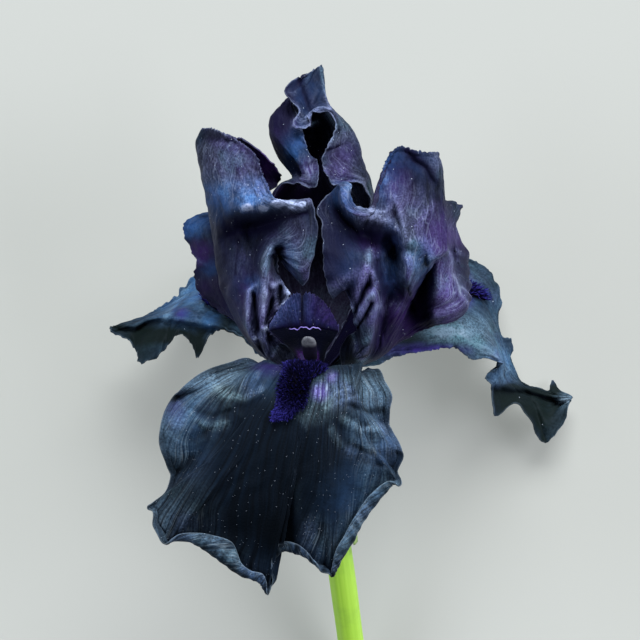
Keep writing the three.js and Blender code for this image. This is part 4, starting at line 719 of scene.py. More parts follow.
def folded(points, normal, rim, u, v, petal, seed):
    # fine folds across the margin and soft crumples over the blade, both along the normal
    frill = frillSetup
    crimp = ripple(v, seed, frill["low"], frill["high"])[:, None] * np.ones_like(u)[None, :]
    crimp += ripple(u, seed + 1, frill["low"] * 0.4, frill["high"] * 0.4)[None, :] * 0.5
    x, y = u[None, :] * petal["width"], v[:, None] * petal["length"]
    bend = crumple(x, y, seed + 2, 30, 1.5)
    dents = crumple(x + 2.5 * bend, y + 4 * bend, seed + 3, frill["dent"], 0.5)
    dents += 0.4 * crumple(x + 2 * bend, y, seed + 4, frill["dent"] * 0.4, 0.6)
    calm = ease(v / 0.25)[:, None]
    edge = np.exp(-rim / frill["reach"])
    moved = points + normal * (edge * crimp * frill["crimp"] + dents * calm * frill["dentDepth"])[..., None]
    # fine teeth of the cut edge, within the blade: its sides, then its tip
    sideTeeth = frill["tooth"] * calm * ripple(v, seed + 5, 25, 75)[:, None]
    tipTeeth = frill["tooth"] * ripple(u, seed + 6, 20, 60)[None, :]
    for axis, teeth, hand in ((1, sideTeeth, np.sign(u - 0.5)), (0, tipTeeth, 1)):
        tooth = teeth * np.exp(-marginDistance(points, (axis,)) / frill["toothReach"])
        moved = moved + unit(np.gradient(points, axis=axis)) * (tooth * hand)[..., None]
    return moved


def blurred(values, reach):
    # the grid smoothed over some cells both ways
    kernel = np.exp(-(np.arange(-2 * reach, 2 * reach + 1) / reach) ** 2)
    kernel /= kernel.sum()
    for axis in (0, 1):
        shifted = np.moveaxis(values, axis, 0)
        start, end = shifted[:1].repeat(2 * reach, 0), shifted[-1:].repeat(2 * reach, 0)
        padded = np.concatenate([start, shifted, end])
        total = sum(w * padded[k:k + len(shifted)] for k, w in enumerate(kernel))
        values = np.moveaxis(total, 0, axis)
    return values


def relief(points, normal, reach=5, depth=0.9):
    # how far each point lies below or above its neighbourhood: hollows and crests from 0 to 1, which carry
    # painted shade and painted highlight
    gap = ((blurred(points, reach) - points) * normal).sum(-1) / depth
    return np.clip(gap - 0.2, 0, 1), np.clip(-gap - 0.2, 0, 1)


def makePetal(name, petal, rows, cols, material, slotName, seed, folds, zones, base, facing=1, midrib=0.5):
    u = crowded(cols)[::facing]
    v = crowded(rows, start=False)
    points, foldShading = sculpt(petalPoints(petal, u, v), folds)
    points = folded(points, gridNormals(points), marginDistance(points), u, v, petal, seed)
    rim = marginDistance(points)
    hollowShade, crest = relief(points, gridNormals(points))
    # the veil takes painted highlight from its patches and from the folds' positive shading; the hollows take
    # painted shade from the relief, the shade patches and the folds' negative shading
    extras = {
        "veil": np.clip(base + patches(points, zones["veil"]) + np.maximum(foldShading, 0), 0, 1.5),
        "violet": patches(points, zones["violet"]),
        "azure": patches(points, zones["azure"]),
        "hollowShade": np.clip(0.5 * hollowShade + patches(points, zones["shade"]) + np.maximum(-foldShading, 0), 0, 1),
        "crest": crest,
    }
    # veins fan out from the midrib on their way to the margin
    across = (u[None, :] - midrib) * (1 - frillSetup["fan"] * v[:, None]) * petal["width"]
    down = np.broadcast_to(v[:, None] * petal["length"], rim.shape)
    bladeMesh(name, points, petalThickness, rim, across, down, material,
              name.replace("petal_", ""), extras)
    print("petal:", name, rim.size, "points")


# Front fall: rays from the claw to the margin, ending in its rolled rim
frontSetup = {
    "cols": 280, "rows": 86, "rollRows": 14,
    "centre": (-4.0, -18.0),  # where the rays start, in millimetres
    "shoulder": 0.45, "shoulderHigh": 47.5,  # share of a ray, millimetres
    "skinWide": 150, "skinLong": 60, "veinLong": 55.0,  # millimetres
    "rollTurn": (12, 178),  # degrees on a plain margin, and how many more on a rolled one
    "rollRadius": (1.15, 0.2, 1.75), "rollLength": (1.8, 1.75),  # millimetres: least, part of width, most
    "frill": 0.35, "frillReach": 2.2,  # millimetres
    "ribs": 80, "ribDepth": 0.13,  # transverse ribs of the rolled rim
    "dent": 11.0, "dentDepth": 0.12,  # soft crumples of the blade
}


def frontMargin(u):
    last = len(frontRim) - 1
    padded = [frontRim[0], *frontRim, frontRim[-1]]
    return curve(np.arange(-1, last + 2), padded, np.clip(u, 0, 1) * last)


def frontEven(u):
    last = len(frontRim) - 1
    return sum(frontMargin(np.clip(u + d / last, 0, 1))[:, 2] for d in range(-4, 5)) / 9


def frontPoints(u, v, margin, even):
    # u goes round the margin, v from the claw to the margin; gives one row for each v
    turn = np.radians(-22 + 44 * u)
    foot = place(clawRadius * np.sin(turn), clawRadius * np.cos(turn), clawHeight)
    centreX, centreY = frontSetup["centre"]
    aim = np.degrees(np.abs(np.arctan2(margin[:, 0] - centreX, -(margin[:, 1] - centreY))))
    sideways = ease((aim - 55) / 60)
    v = np.asarray(v, float)[:, None]
    shoulder, high = frontSetup["shoulder"], frontSetup["shoulderHigh"]
    near = np.clip(v / shoulder, 0, 1)
    outer = np.clip((v - shoulder) / (1 - shoulder), 0, 1)
    reach = np.where(v < shoulder, (0.3 + 0.18 * sideways) * near ** (2.3 - 1.1 * sideways),
                     0.3 + 0.18 * sideways + (0.7 - 0.18 * sideways) * outer)
    crest = high + (even + 1 - high) * sideways
    height = np.where(v < shoulder, foot[:, 2] + (crest - foot[:, 2]) * (1 - (1 - near) ** 2.2),
                      crest + (even - crest) * outer**2 + (margin[:, 2] - even) * outer**4)
    haft = ease(v / 0.22) * (1 - ease((v - 0.22) / 0.5))
    side = 2 * u - 1
    return np.stack([
        foot[:, 0] + (margin[:, 0] - foot[:, 0]) * reach + 9 * side * haft,
        foot[:, 1] + (margin[:, 1] - foot[:, 1]) * reach + (6.2 - 2 * side * side) * haft,
        height - 2 * side * side * haft], axis=-1)


def makeFrontFall():
    last = len(frontRim) - 1
    u = crowded(frontSetup["cols"])[::-1]
    margin = frontMargin(u)
    even = frontEven(u)
    before, after = frontMargin(u - 1 / last), frontMargin(u + 1 / last)
    normal = unit(np.stack([before[:, 1] - after[:, 1], after[:, 0] - before[:, 0]], axis=-1))
    ray = unit(margin[:, :2] - np.array(frontSetup["centre"]))
    normal *= np.where((normal * ray).sum(-1) < 0, -1, 1)[:, None]
    out = unit(0.6 * ray + 0.4 * normal)
    # the rim turns down and under where it is rolled, by the margin's fourth number
    roll = margin[:, 3]
    turnLeast, turnMore = frontSetup["rollTurn"]
    turnMax = np.radians(turnLeast + turnMore * ease(roll / 2))
    radiusLeast, radiusShare, radiusMost = frontSetup["rollRadius"]
    radius = np.minimum(radiusLeast + radiusShare * roll, radiusMost)
    lengthLeast, lengthShare = frontSetup["rollLength"]
    length = lengthLeast + lengthShare * roll
    extra = length - radius * turnMax
    reach = np.where(turnMax > math.pi / 2, radius, radius * np.sin(turnMax) + extra * np.cos(turnMax))
    fold = margin[:, :3].copy()
    fold[:, :2] -= out * reach[:, None]
    v = np.linspace(0, 1, frontSetup["rows"])
    sheet, foldShading = sculpt(frontPoints(u, v, fold, even), frontFolds)
    rollRows = [(turnMax * t, extra * 0.2 * t) for t in np.linspace(0, 1, frontSetup["rollRows"])[1:]]
    rollRows += [(turnMax, extra * (0.2 + 0.8 * s)) for s in (0.12, 0.3, 0.5, 0.7, 0.86, 0.95, 1.0)]
    curls = []
    for turn, run in rollRows:
        outward = radius * np.sin(turn) + run * np.cos(turn)
        curls.append(np.stack([fold[:, 0] + out[:, 0] * outward, fold[:, 1] + out[:, 1] * outward,
                               fold[:, 2] + radius * (1 - np.cos(turn)) + run * np.sin(turn)], axis=-1))
    points = np.concatenate([sheet, np.array(curls)])
    rim = marginDistance(points)
    share = np.concatenate([v, 1 + 0.02 * np.arange(1, len(curls) + 1)])
    surface = gridNormals(points)
    x, y = u[None, :] * frontSetup["skinWide"], share[:, None] * frontSetup["skinLong"]
    bend = crumple(x, y, 40, 34, 1.5)
    dents = crumple(x + 3 * bend, y + 5 * bend, 41, frontSetup["dent"], 0.35)
    dents += 0.4 * crumple(x + 2 * bend, y, 42, frontSetup["dent"] * 0.4, 0.5)
    dents *= (ease((share - 0.25) / 0.4) * (1 - ease((share - 1) / 0.05)))[:, None]
    ribPhase = 2 * math.pi * frontSetup["ribs"] * u + 4 * ripple(u, 48, 5, 21)
    ribs = np.sin(ribPhase) * frontSetup["ribDepth"]
    ribs = ribs[None, :] * ease((share - 1.0) / 0.1)[:, None] * ease(roll / 2)[None, :]
    frill = ripple(u, 47, 18, 42, 9)[None, :] * np.exp(-rim / frontSetup["frillReach"]) * frontSetup["frill"]
    points = points + surface * (dents * frontSetup["dentDepth"] + ribs + frill)[..., None]
    rim = marginDistance(points)
    hollowShade, crest = relief(points, gridNormals(points))
    foldShading = np.concatenate([foldShading, np.zeros((len(curls), len(u)))])
    rolled = np.broadcast_to(ease((share - 1.0) / 0.12)[:, None], rim.shape) * ease(roll / 1.2)[None, :]
    # the middle loses its veil and takes painted shade over its own near-black colour; the rolled rim shows
    # its paler underside, with painted highlight on its rib tops
    middle = np.exp(-(((points[..., 0] + 10) / 20) ** 2 + ((points[..., 1] + 48) / 24) ** 2))
    flat = ease((share - 0.3) / 0.6)[:, None]
    veil = 0.06 + 0.06 * flat - 0.3 * middle + 0.5 * rolled
    veil = veil + patches(points, frontZones["veil"]) + np.maximum(foldShading, 0) + ribs * rolled * 1.6
    shade = hollowShade + 0.75 * middle + patches(points, frontZones["shade"]) + np.maximum(-foldShading, 0)
    extras = {
        "veil": np.clip(veil, 0, 1.5),
        "violet": patches(points, frontZones["violet"]),
        "azure": np.clip(patches(points, frontZones["azure"]) + 0.35 * rolled, 0, 1),
        "hollowShade": np.clip(shade, 0, 1),
        "crest": crest,
    }
    # streaks bend round the shoulders
    across = (u[None, :] - 0.5) * frontSetup["skinWide"] * (1 + 0.9 * share[:, None] ** 2)
    down = np.broadcast_to(share[:, None] * frontSetup["veinLong"], rim.shape)
    bladeMesh("petal_fall_front", points, petalThickness, rim, across, down, fallSkin,
              "fall_front", extras)
    print("petal: petal_fall_front", rim.size, "points")


# folds of the front fall: step beside the notch, creases and pale streaks, partly painted sheen, that sweep
# round both shoulders; their shading is painted highlight and painted shade
frontFolds = [
    ([(-8.1, -53.4), (-7.8, -57.9), (-7.2, -63), (-6.6, -68.4)], (0.9, 6), (-0.9, 5), 1.6),
    ([(-41.7, -22.2), (-39.3, -25.5), (-36.3, -27.3), (-31.8, -28.2), (-26.4, -26.4)], (0.3, 2.4),
     (-0.6, 2), 0.6, -0.25),
    ([(-33.9, -15.3), (-31.8, -19.2), (-28.2, -22.5), (-22.8, -23.1), (-17.4, -20.4)], (-0.5, 2),
     (0.9, 1.5), 0.6, 0.4),
    ([(-40.2, -25.2), (-37.2, -30), (-33.6, -32.4), (-28.2, -31.2)], (0.9, 1.6), (-0.4, 2), 0.6, 0.5),
    ([(-45.3, -32.4), (-42.6, -35.4), (-38.4, -36.3), (-34.2, -34.2)], (-0.8, 1.5), (0.6, 2), 0.6, -0.5),
    ([(-45.6, -39.6), (-42, -41.1), (-37.2, -39.6)], (0.5, 1.4), (-0.4, 2), 0.6, 0.6),
    ([(-48.6, -54.9), (-45, -50.7), (-41.4, -45.9)], (-0.7, 2), (0.8, 2), 0.5),
    ([(3.3, -33), (4.8, -36), (7.2, -39), (9.9, -40.8)], (0.9, 1.6), (-0.5, 2), 0.6, 0.5),
    ([(9.6, -25.2), (14.4, -27), (19.8, -26.4)], (0.6, 1.6), (-0.8, 1.5), 0.6, -0.4),
    ([(7.2, -29.4), (12, -32.4), (17.4, -32.4), (21.9, -31.2)], (-0.6, 1.6), (0.8, 1.6), 0.6, 0.45),
    ([(9.6, -36.6), (14.4, -39), (19.8, -39.6), (24.3, -38.4)], (0.7, 1.6), (-0.8, 1.6), 0.6, 0.45),
    ([(11.4, -41.4), (16.2, -43.8), (21.6, -44.4)], (-0.8, 1.6), (0.4, 2), 0.6, -0.5),
    ([(-10.8, -34.8), (-12.3, -42.6), (-13.8, -51), (-14.7, -58.5)], (0.15, 1), (0.15, 1), 0.6, 0.15, 0.5),
    ([(-1.2, -19.5), (-1.5, -23.7)], (0.4, 0.6), (0.4, 0.6), 0.6, 0.8, 0.3),
    ([(0.3, -18.9), (0, -24)], (0.4, 0.6), (0.4, 0.6), 0.6, 0.8, 0.3),
    ([(2.1, -19.5), (1.9, -21.3)], (0.3, 0.6), (0.3, 0.6), 0.6, 0.7, 0.4),
    ([(0.6, -24.9), (4.8, -21.9), (9.9, -20.4)], (0.2, 0.6), (0.2, 0.6), 0.6, 0.5, 0.5),
    ([(1.2, -26.7), (6, -24.3), (11.1, -23.1)], (0.2, 0.6), (0.2, 0.6), 0.6, 0.5, 0.5),
    ([(-6.6, -27.6), (-2.4, -36), (0, -45)], (0.2, 1.2), (0.2, 1.2), 0.6, 0.12, 0.6),
]
# colour zones of the front fall: veil and azure patches of its own colours and painted sheen, violet patches
# of its own colour and painted light shining through the blade, and shade patches of painted shade
frontZones = {
    "veil": [
        (-5.4, -11.1, 44, 4, 3, 90, 0.9), (0.6, -12.3, 44, 2, 3, 90, 1.2),
        (3.6, -17.1, 44, 1.6, 2, 30, 0.8), (-27.6, -18, 40, 15, 8, 90, 0.4),
        (-37.2, -20.4, 40, 12, 8, 90, 0.35), (-42, -36, 40, 7, 18, 90, 0.3),
        (15.6, -20.4, 40, 10, 9, 90, 0.4), (4.5, -21.6, 44, 9, 8, 90, 0.65),
        (16.5, -33, 38, 12, 14, 90, 0.45), (13.8, -63, 40, 12, 16, 90, 0.5),
        (-2.4, -27.6, 44, 10, 8, 30, 0.35), (-1.5, -64.5, 34, 8, 12, 30, 0.5),
        (-42, -58.5, 30, 11, 9, 30, 0.3), (15.6, -45, 34, 9, 9, 30, 0.3),
    ],
    "violet": [
        (-5.4, -11.1, 44, 5, 4, 90, 1), (0.6, -12.3, 44, 3, 4, 90, 1), (0, -21.6, 44, 4, 4, 90, 1),
        (-15, -13.8, 44, 9, 5, 30, 0.5), (-43.2, -27, 38, 5, 9, 30, 0.2), (3.6, -17.1, 44, 3, 3, 30, 0.8),
    ],
    "azure": [
        (-39, -30, 36, 12, 24, 30, 0.6), (7.5, -54, 34, 14, 16, 30, 0.7), (16.5, -36, 36, 14, 20, 30, 0.6),
        (-6, -72, 32, 14, 10, 30, 0.5), (-17.4, -18, 44, 12, 8, 30, 0.4),
    ],
    "shade": [
        (-39, -55.5, 34, 13, 13, 30, 0.4), (-22.5, -61.5, 34, 22, 12, 30, 0.5),
        (-13.5, -67.5, 34, 6, 14, 30, 0.5), (-31.5, -13.8, 40, 20, 3.5, 30, 0.6),
        (16.5, -15.6, 42, 9, 4, 30, 0.7),
    ],
}

# folds of the left standard: the shelf under its upper lobe, the hanging flap's groove, pleats and hollows,
# with painted highlight on ridges and painted shade in grooves and under the shelf
leftFolds = [
    ([(-28.8, 27), (-25.2, 27.9), (-21.9, 30), (-18.6, 31.5), (-15.6, 32.4), (-12.9, 34.5)], (3, 5),
     (-3, 5), 2.8),
    ([(-23.1, 32.7), (-21.3, 33.9), (-19.8, 33), (-17.7, 34.2), (-16.2, 33.3), (-14.4, 34.8),
     (-12.3, 35.7)], (1.2, 1.8), (0.8, 1.4), 0.6, 0.9, 0.9),
    ([(-24.6, 28.2), (-19.2, 28.5), (-15, 30.3)], (-1, 3), (-1, 3), 2, -0.9, 3.5),
    ([(-13.2, 34.2), (-9.6, 35.4), (-6.6, 34.5), (-3.3, 35.4)], (1.2, 1.6), (1.2, 1.2), 0.6, 0.8),
    ([(-18.6, 27.9), (-12.6, 30), (-8.1, 31.5), (-3.9, 32.1)], (-0.6, 1), (-1.4, 1.2), 0.6, -0.8, 0.9),
    ([(-12.6, 21), (-11.4, 17.4), (-9.6, 13.5), (-7.5, 10.2)], (-5, 3), (-6, 1.6), 0.6, -1, 1.6),
    ([(-12.6, 21.9), (-14.7, 21), (-15.8, 18.9), (-16.2, 15), (-16.6, 10.5), (-16.8, 6), (-17.1, 0.6),
     (-16.8, -4.5)], (1.8, 0.8), (2.4, 2.4), 0.6, 0.75, 1.2),
    ([(-18.9, 21), (-19.5, 15.6), (-19.8, 10.8)], (-1.6, 3), (-0.6, 3), 2, -0.4, 2),
    ([(-14.1, 10.2), (-11.7, 11.4), (-9.6, 9.9), (-9.2, 6.9), (-10.2, 4.8), (-11.4, 3.3), (-13.8, 0.3),
     (-16.5, -2.7)], (1.6, 0.8), (1.6, 1.6), 0.6, 0.6, 0.8),
    ([(-10.2, 9.9), (-9.3, 8.1), (-9.4, 6), (-10.5, 4.5)], (0.4, 1), (0.4, 1), 0.6, 0.8),
    ([(-12, 9.6), (-12, 6.9), (-11.7, 4.8)], (-2.4, 0.9), (-2.4, 0.9), 0.6, -0.8, 0.8),
    ([(-14.7, 6.3), (-15.3, 3), (-16.5, -1.2)], (-2.4, 0.8), (-2.4, 0.8), 0.6, -0.8, 0.7),
    ([(-13.5, 9.6), (-13.5, 6), (-13.2, 2.7)], (0.6, 0.9), (0.6, 0.9), 0.6, 0.35, 0.9),
    ([(-15.6, -3.6), (-15.4, -7.5), (-15.6, -11.4)], (-0.8, 0.6), (-0.8, 0.6), 0.6, -0.8, 0.4),
    ([(-19.5, -5.4), (-17.4, -5.7), (-15.9, -7.8), (-15.9, -10.8)], (0.5, 0.6), (0.5, 0.6), 0.6, 0.6, 0.4),
    ([(-15.6, -2.7), (-13.8, -5.1), (-12.6, -7.2), (-14.4, -10.8)], (0.5, 0.6), (0.5, 0.6), 0.6, 0.6, 0.4),
    ([(-19.2, 10.2), (-21.3, 8.4), (-21.9, 3.6), (-21.6, -1.2), (-20.4, -4.5), (-18.9, -6.3)], (1.2, 1.4),
     (2, 0.9), 0.6, 0.85, 0.8),
    ([(-19.8, 6.9), (-19.5, 2.4), (-18.6, -2.7)], (-2.2, 1), (-2.2, 1), 0.6, -0.65, 0.9),
    ([(-10.8, -7.8), (-8.4, -9), (-11.4, -12.3), (-14.4, -14.4)], (1, 1), (-0.6, 1.2), 0.6, 0.3),
    ([(-24.3, 24), (-24.9, 19.2), (-25.2, 13.8)], (-0.5, 0.6), (0.3, 1.5), 0.6, -0.5, 0.5),
    ([(-26.1, 17.4), (-24.6, 9), (-22.2, 0.6)], (0.8, 4), (0.8, 4), 2),
    ([(-34.8, 54.3), (-32.4, 54.6), (-30.3, 53.7)], (-0.9, 1), (-0.7, 1), 0.6, -0.5),
    ([(-27.6, 53.7), (-25.5, 53.1)], (-0.8, 0.9), (-0.8, 0.9), 0.6, -0.6),
    ([(-8.4, 26.4), (-6.3, 21), (-5.1, 15.6)], (0.8, 5), (0.8, 5), 2, 0.25, 4),
]
# colour zones of the left standard: veil and azure patches of its own colours and painted sheen, violet
# patches of its own colour and painted light shining through the blade, and shade patches of painted shade
leftZones = {
    "veil": [
        (-29.4, 46.5, 30, 13, 13, 90, 0.7), (-20.4, 38.4, 36, 14, 8, 90, 0.75),
        (-9.6, 35.1, 44, 9, 4, 90, 0.4), (-21.9, 33.9, 40, 3, 1.6, 90, 1.2),
        (-16.8, 33.3, 42, 2.2, 1.8, 90, 1.3), (-12.3, 34.5, 44, 2, 1.6, 90, 0.8),
        (-8.7, 33.9, 44, 2.4, 1.5, 90, 0.8), (-5.1, 34.2, 44, 1.8, 2, 90, 0.7),
        (-9, 22.5, 44, 9, 12, 90, 0.5), (-15.6, 6, 42, 7, 14, 90, 0.4), (-21, 1.5, 40, 3, 9, 90, 0.15),
        (-14.4, -7.5, 36, 6, 8, 90, 0.25), (-25.2, 16.5, 34, 5, 9, 90, 0.12),
        (-38.4, 28.5, 4, 6, 5, 16, 0.3),
    ],
    "violet": [
        (-15, 48, 12, 6, 14, 20, 1), (-24, 48, 28, 13, 12, 90, 0.5), (-24.6, 6, 38, 10, 18, 90, 0.5),
        (-10.5, 21, 44, 10, 14, 90, 0.4), (-15.6, 6, 42, 7, 16, 90, 0.3), (-36.6, 19.5, -5, 8, 7, 60, 1),
        (-33.6, 6, -8, 8, 10, 60, 1),
    ],
    "azure": [
        (-21.6, 37.2, 36, 14, 8, 90, 1), (-31.5, 36, 28, 9, 12, 90, 0.5), (-25.5, 6, 38, 9, 16, 90, 0.25),
        (-39, 28.5, 0, 8, 6, 30, 0.9), (-32.4, 15.6, -8, 7, 5, 30, 0.6), (-19.5, 10.5, 40, 5, 5, 90, 0.5),
        (-9.9, 17.4, 44, 6, 10, 90, 0.4),
    ],
    "shade": [
        (-22.5, 28.2, 38, 12, 6, 90, 0.45), (-10.8, 28.2, 42, 12, 6, 90, 0.6),
        (-29.4, 24, 30, 8, 16, 90, 0.45), (-28.2, 6, 24, 9, 26, 90, 0.7), (-37.2, 19.2, -4, 8, 5, 30, 0.35),
        (-34.2, 6.6, -8, 9, 10, 90, 0.85), (-18.6, -7.5, 36, 5, 6, 90, 0.2),
    ],
}
# folds of the right standard: shelf under the scroll, upright ridge, frilled margin, black hollow and ruffle,
# with painted highlight on ridges and painted shade in grooves
rightFolds = [
    ([(5.1, 37.2), (6, 33.9), (8.1, 30.9), (11.7, 28.5), (15.6, 27.9), (19.8, 27), (23.7, 24)], (1.2, 3),
     (-3.6, 5), 1.6),
    ([(8.7, 39.6), (7.5, 37.8), (7.5, 35.1), (9, 33), (12, 31.3), (15.3, 30.8), (19.2, 30.3), (22.8, 27.9),
     (24.9, 24.9)], (1.8, 1.4), (1.8, 1.8), 0.6, 0.55, 1.6),
    ([(9.6, 39), (9.9, 35.4), (12.3, 33.4), (15.3, 32.5), (19.5, 32.4)], (0.8, 0.7), (0.6, 0.8), 0.6, 0.7,
     0.6),
    ([(6.9, 32.1), (10.8, 27), (16.2, 25.5), (21, 24)], (-0.5, 3), (-0.5, 3), 0.6, -0.45, 3),
    ([(24, 29.4), (25.2, 25.2), (25.2, 20.7), (25.6, 13.2), (27.3, 7.8)], (1.8, 5), (-3.4, 5), 0.45, 0.2),
    ([(24.3, 24.6), (24.3, 19.2), (24.6, 12), (25.8, 6)], (0, 1), (0, 1), 0.6, -0.4),
    ([(19.2, 24), (19.8, 18.6), (20.7, 11.4)], (6, 3.5), (5, 3.5), 2),
    ([(15.3, 21), (14.7, 18), (13.8, 15), (12.6, 11.1), (11.4, 6.9), (10.2, 2.7)], (1.8, 0.9), (1.8, 1.8),
     0.6, 0.5, 1.1),
    ([(15.6, 14.4), (16.8, 11.7), (16.8, 9.3), (15.3, 7.2), (13.8, 4.8), (12, 1.2), (10.5, -2.1)],
     (2.2, 0.9), (2.2, 1.3), 0.6, 0.5),
    ([(16.5, 6.9), (17.2, 4.2), (16.2, 0.3), (15.3, -3.3), (14.1, -7.5), (12.9, -11.4)], (2.2, 0.9),
     (2.2, 2), 0.6, 0.55, 1.4),
    ([(9.6, -3.9), (10.5, -6.6), (11.4, -10.2), (12.3, -12.9)], (1.2, 0.9), (1.2, 0.9), 0.6, 0.6, 0.9),
    ([(14.1, 10.5), (13, 9), (12, 6), (10.8, 2.7)], (-2.2, 0.9), (-2.2, 0.9), 0.6, -1, 0.7),
    ([(15.3, 5.1), (13.5, 1.8), (11.4, -2.1)], (-2.2, 0.7), (-2.2, 0.7), 0.6, -1, 0.6),
    ([(16.9, 17.7), (16.6, 15), (17.4, 12.3)], (-1.2, 0.7), (-1.2, 0.7), 0.6, -0.9, 0.7),
    ([(11.4, -9.9), (14.4, -7.2)], (-0.5, 0.5), (-0.5, 0.5), 0.6, -0.9, 0.3),
    ([(11.7, -11.4), (13.8, -10.5)], (-0.5, 0.5), (-0.5, 0.5), 0.6, -0.9, 0.3),
    ([(2.4, 9), (6, 11.4), (10.5, 13.8)], (0.4, 2), (0.4, 2), 0.6, 0.3, 1.5),
    ([(7.2, 9.3), (8.7, 6.3), (10.2, 3)], (0.3, 0.6), (0.3, 0.6), 0.6, 0.8, 0.5),
    ([(17.7, 17.4), (18.3, 10.5), (18.3, 3), (17.1, -3), (15.3, -9)], (-1.6, 2), (0, 1), 0.4, -0.3),
    ([(38.1, 20.4), (35.4, 18.3), (32.1, 15.6), (29.4, 11.7), (27.3, 7.2)], (-4, 5), (1.2, 4), 0.4, 0.2),
    ([(31.2, 13.5), (29.1, 9), (28.2, 4.5), (27.6, -1.5)], (-1, 3), (-1, 3), 0.6, -0.3, 3),
    ([(32.4, 15.3), (32.7, 9), (33, 3), (33.9, -1.8)], (2.6, 6), (-2.4, 4), 0.5),
    ([(36, 17.4), (38.1, 11.4), (39.6, 4.8)], (1.2, 3.5), (1.2, 3.5), 2, 0.25, 4),
    ([(38.7, 20.4), (40.2, 13.8), (42, 8.1), (45, 3.6)], (-2.5, 2.5), (1.2, 1.6), 0.4, 0.5, 0.5, 2),
    ([(40.5, 21), (45.3, 18.3)], (0.8, 0.9), (-0.8, 0.9), 0.6, 0.8, 0.6, -10),
    ([(41.1, 17.4), (45.6, 14.4)], (0.8, 0.9), (-0.8, 0.9), 0.6, 0.8, 0.6, -10),
    ([(41.7, 13.8), (45.6, 10.8)], (0.8, 0.9), (-0.8, 0.9), 0.6, 0.8, 0.6, -10),
    ([(42.6, 9.9), (45.6, 7.5)], (0.8, 0.9), (-0.8, 0.9), 0.6, 0.8, 0.6, -10),
    ([(26.4, 51), (28.8, 48.3), (32.1, 45.9), (33.9, 42.9)], (0.8, 2), (-1.2, 2), 0.8, -0.7, 1.5),
    ([(19.8, 43.2), (21.6, 37.2), (23.7, 31.8)], (0.5, 1.5), (0.3, 2), 0.6, 0.3),
    ([(33.6, 34.5), (30, 29.4), (27.6, 24)], (0.4, 2), (0.8, 2), 0.6, 0.35),
    ([(0, 30), (1.2, 21), (3, 10.5)], (0.8, 4), (0.5, 2), 2),
]
# colour zones of the right standard: veil and azure patches of its own colours and painted sheen, violet
# patches of its own colour and painted light shining through the blade, and shade patches of painted shade
rightZones = {
    "veil": [
        (30, 24, 34, 9, 16, 90, 0.5), (26.7, 15.6, 36, 5, 12, 90, 0.6), (36, 48, 18, 9, 7, 90, 0.35),
        (38.1, 7.5, 24, 9, 12, 90, 0.35), (41.1, 9.3, 22, 7, 10, 90, 0.35), (42.6, 28.5, 10, 8, 8, 90, 0.4),
        (14.7, 16.5, 38, 2.6, 6, 90, 0.3), (14.4, 0.6, 38, 4, 14, 90, 0.3),
        (18.4, 3.6, 36, 1.3, 3, 90, 0.5), (21.6, 4.8, 34, 1.8, 2, 90, 0.5),
        (23.4, 34.5, 34, 10, 12, 90, 0.4), (10.5, 31.5, 42, 10, 5, 90, 0.35),
        (19.8, 4.2, 34, 8, 4, 90, 0.7), (19.8, 19.2, 34, 5, 8, 90, 0.25), (3, 31.5, 40, 6, 9, 90, 0.15),
    ],
    "violet": [
        (36, 24.6, 30, 7, 14, 90, 0.9), (38.1, 7.5, 24, 9, 14, 90, 1), (28.2, 2.4, 24, 9, 16, 90, 0.9),
        (23.4, 39, 30, 7, 12, 90, 0.6), (18, 6, 34, 8, 16, 90, 0.35), (12.6, 6, 38, 6, 16, 90, 0.2),
        (42, 24, 6, 6, 8, 30, 0.6), (21.6, -4.5, 30, 9, 16, 90, 0.8), (16.2, 24, 38, 11, 7, 90, 0.6),
        (13.5, 39, 30, 5, 6, 30, 0.5),
    ],
    "azure": [
        (18, 43.5, 24, 9, 14, 90, 0.7), (8.1, 36, 40, 8, 9, 90, 0.8), (21.6, 17.4, 34, 6, 16, 90, 0.75),
        (30, 16.5, 34, 7, 12, 90, 0.5), (7.5, 16.5, 40, 8, 14, 90, 0.15), (26.4, 48, 18, 12, 9, 90, 0.3),
    ],
    "shade": [
        (15, 24.6, 38, 11, 4, 90, 0.3), (3.6, 21, 40, 9, 24, 90, 0.75), (28.5, 3, 24, 7, 14, 90, 0.1),
        (27, 31.5, 30, 9, 14, 90, 0.25), (21, -4.5, 30, 8, 16, 90, 0.6), (43.2, 15.6, 4, 5, 14, 90, 0.9),
        (26.4, 47.4, 18, 10, 12, 90, 0.6),
    ],
}
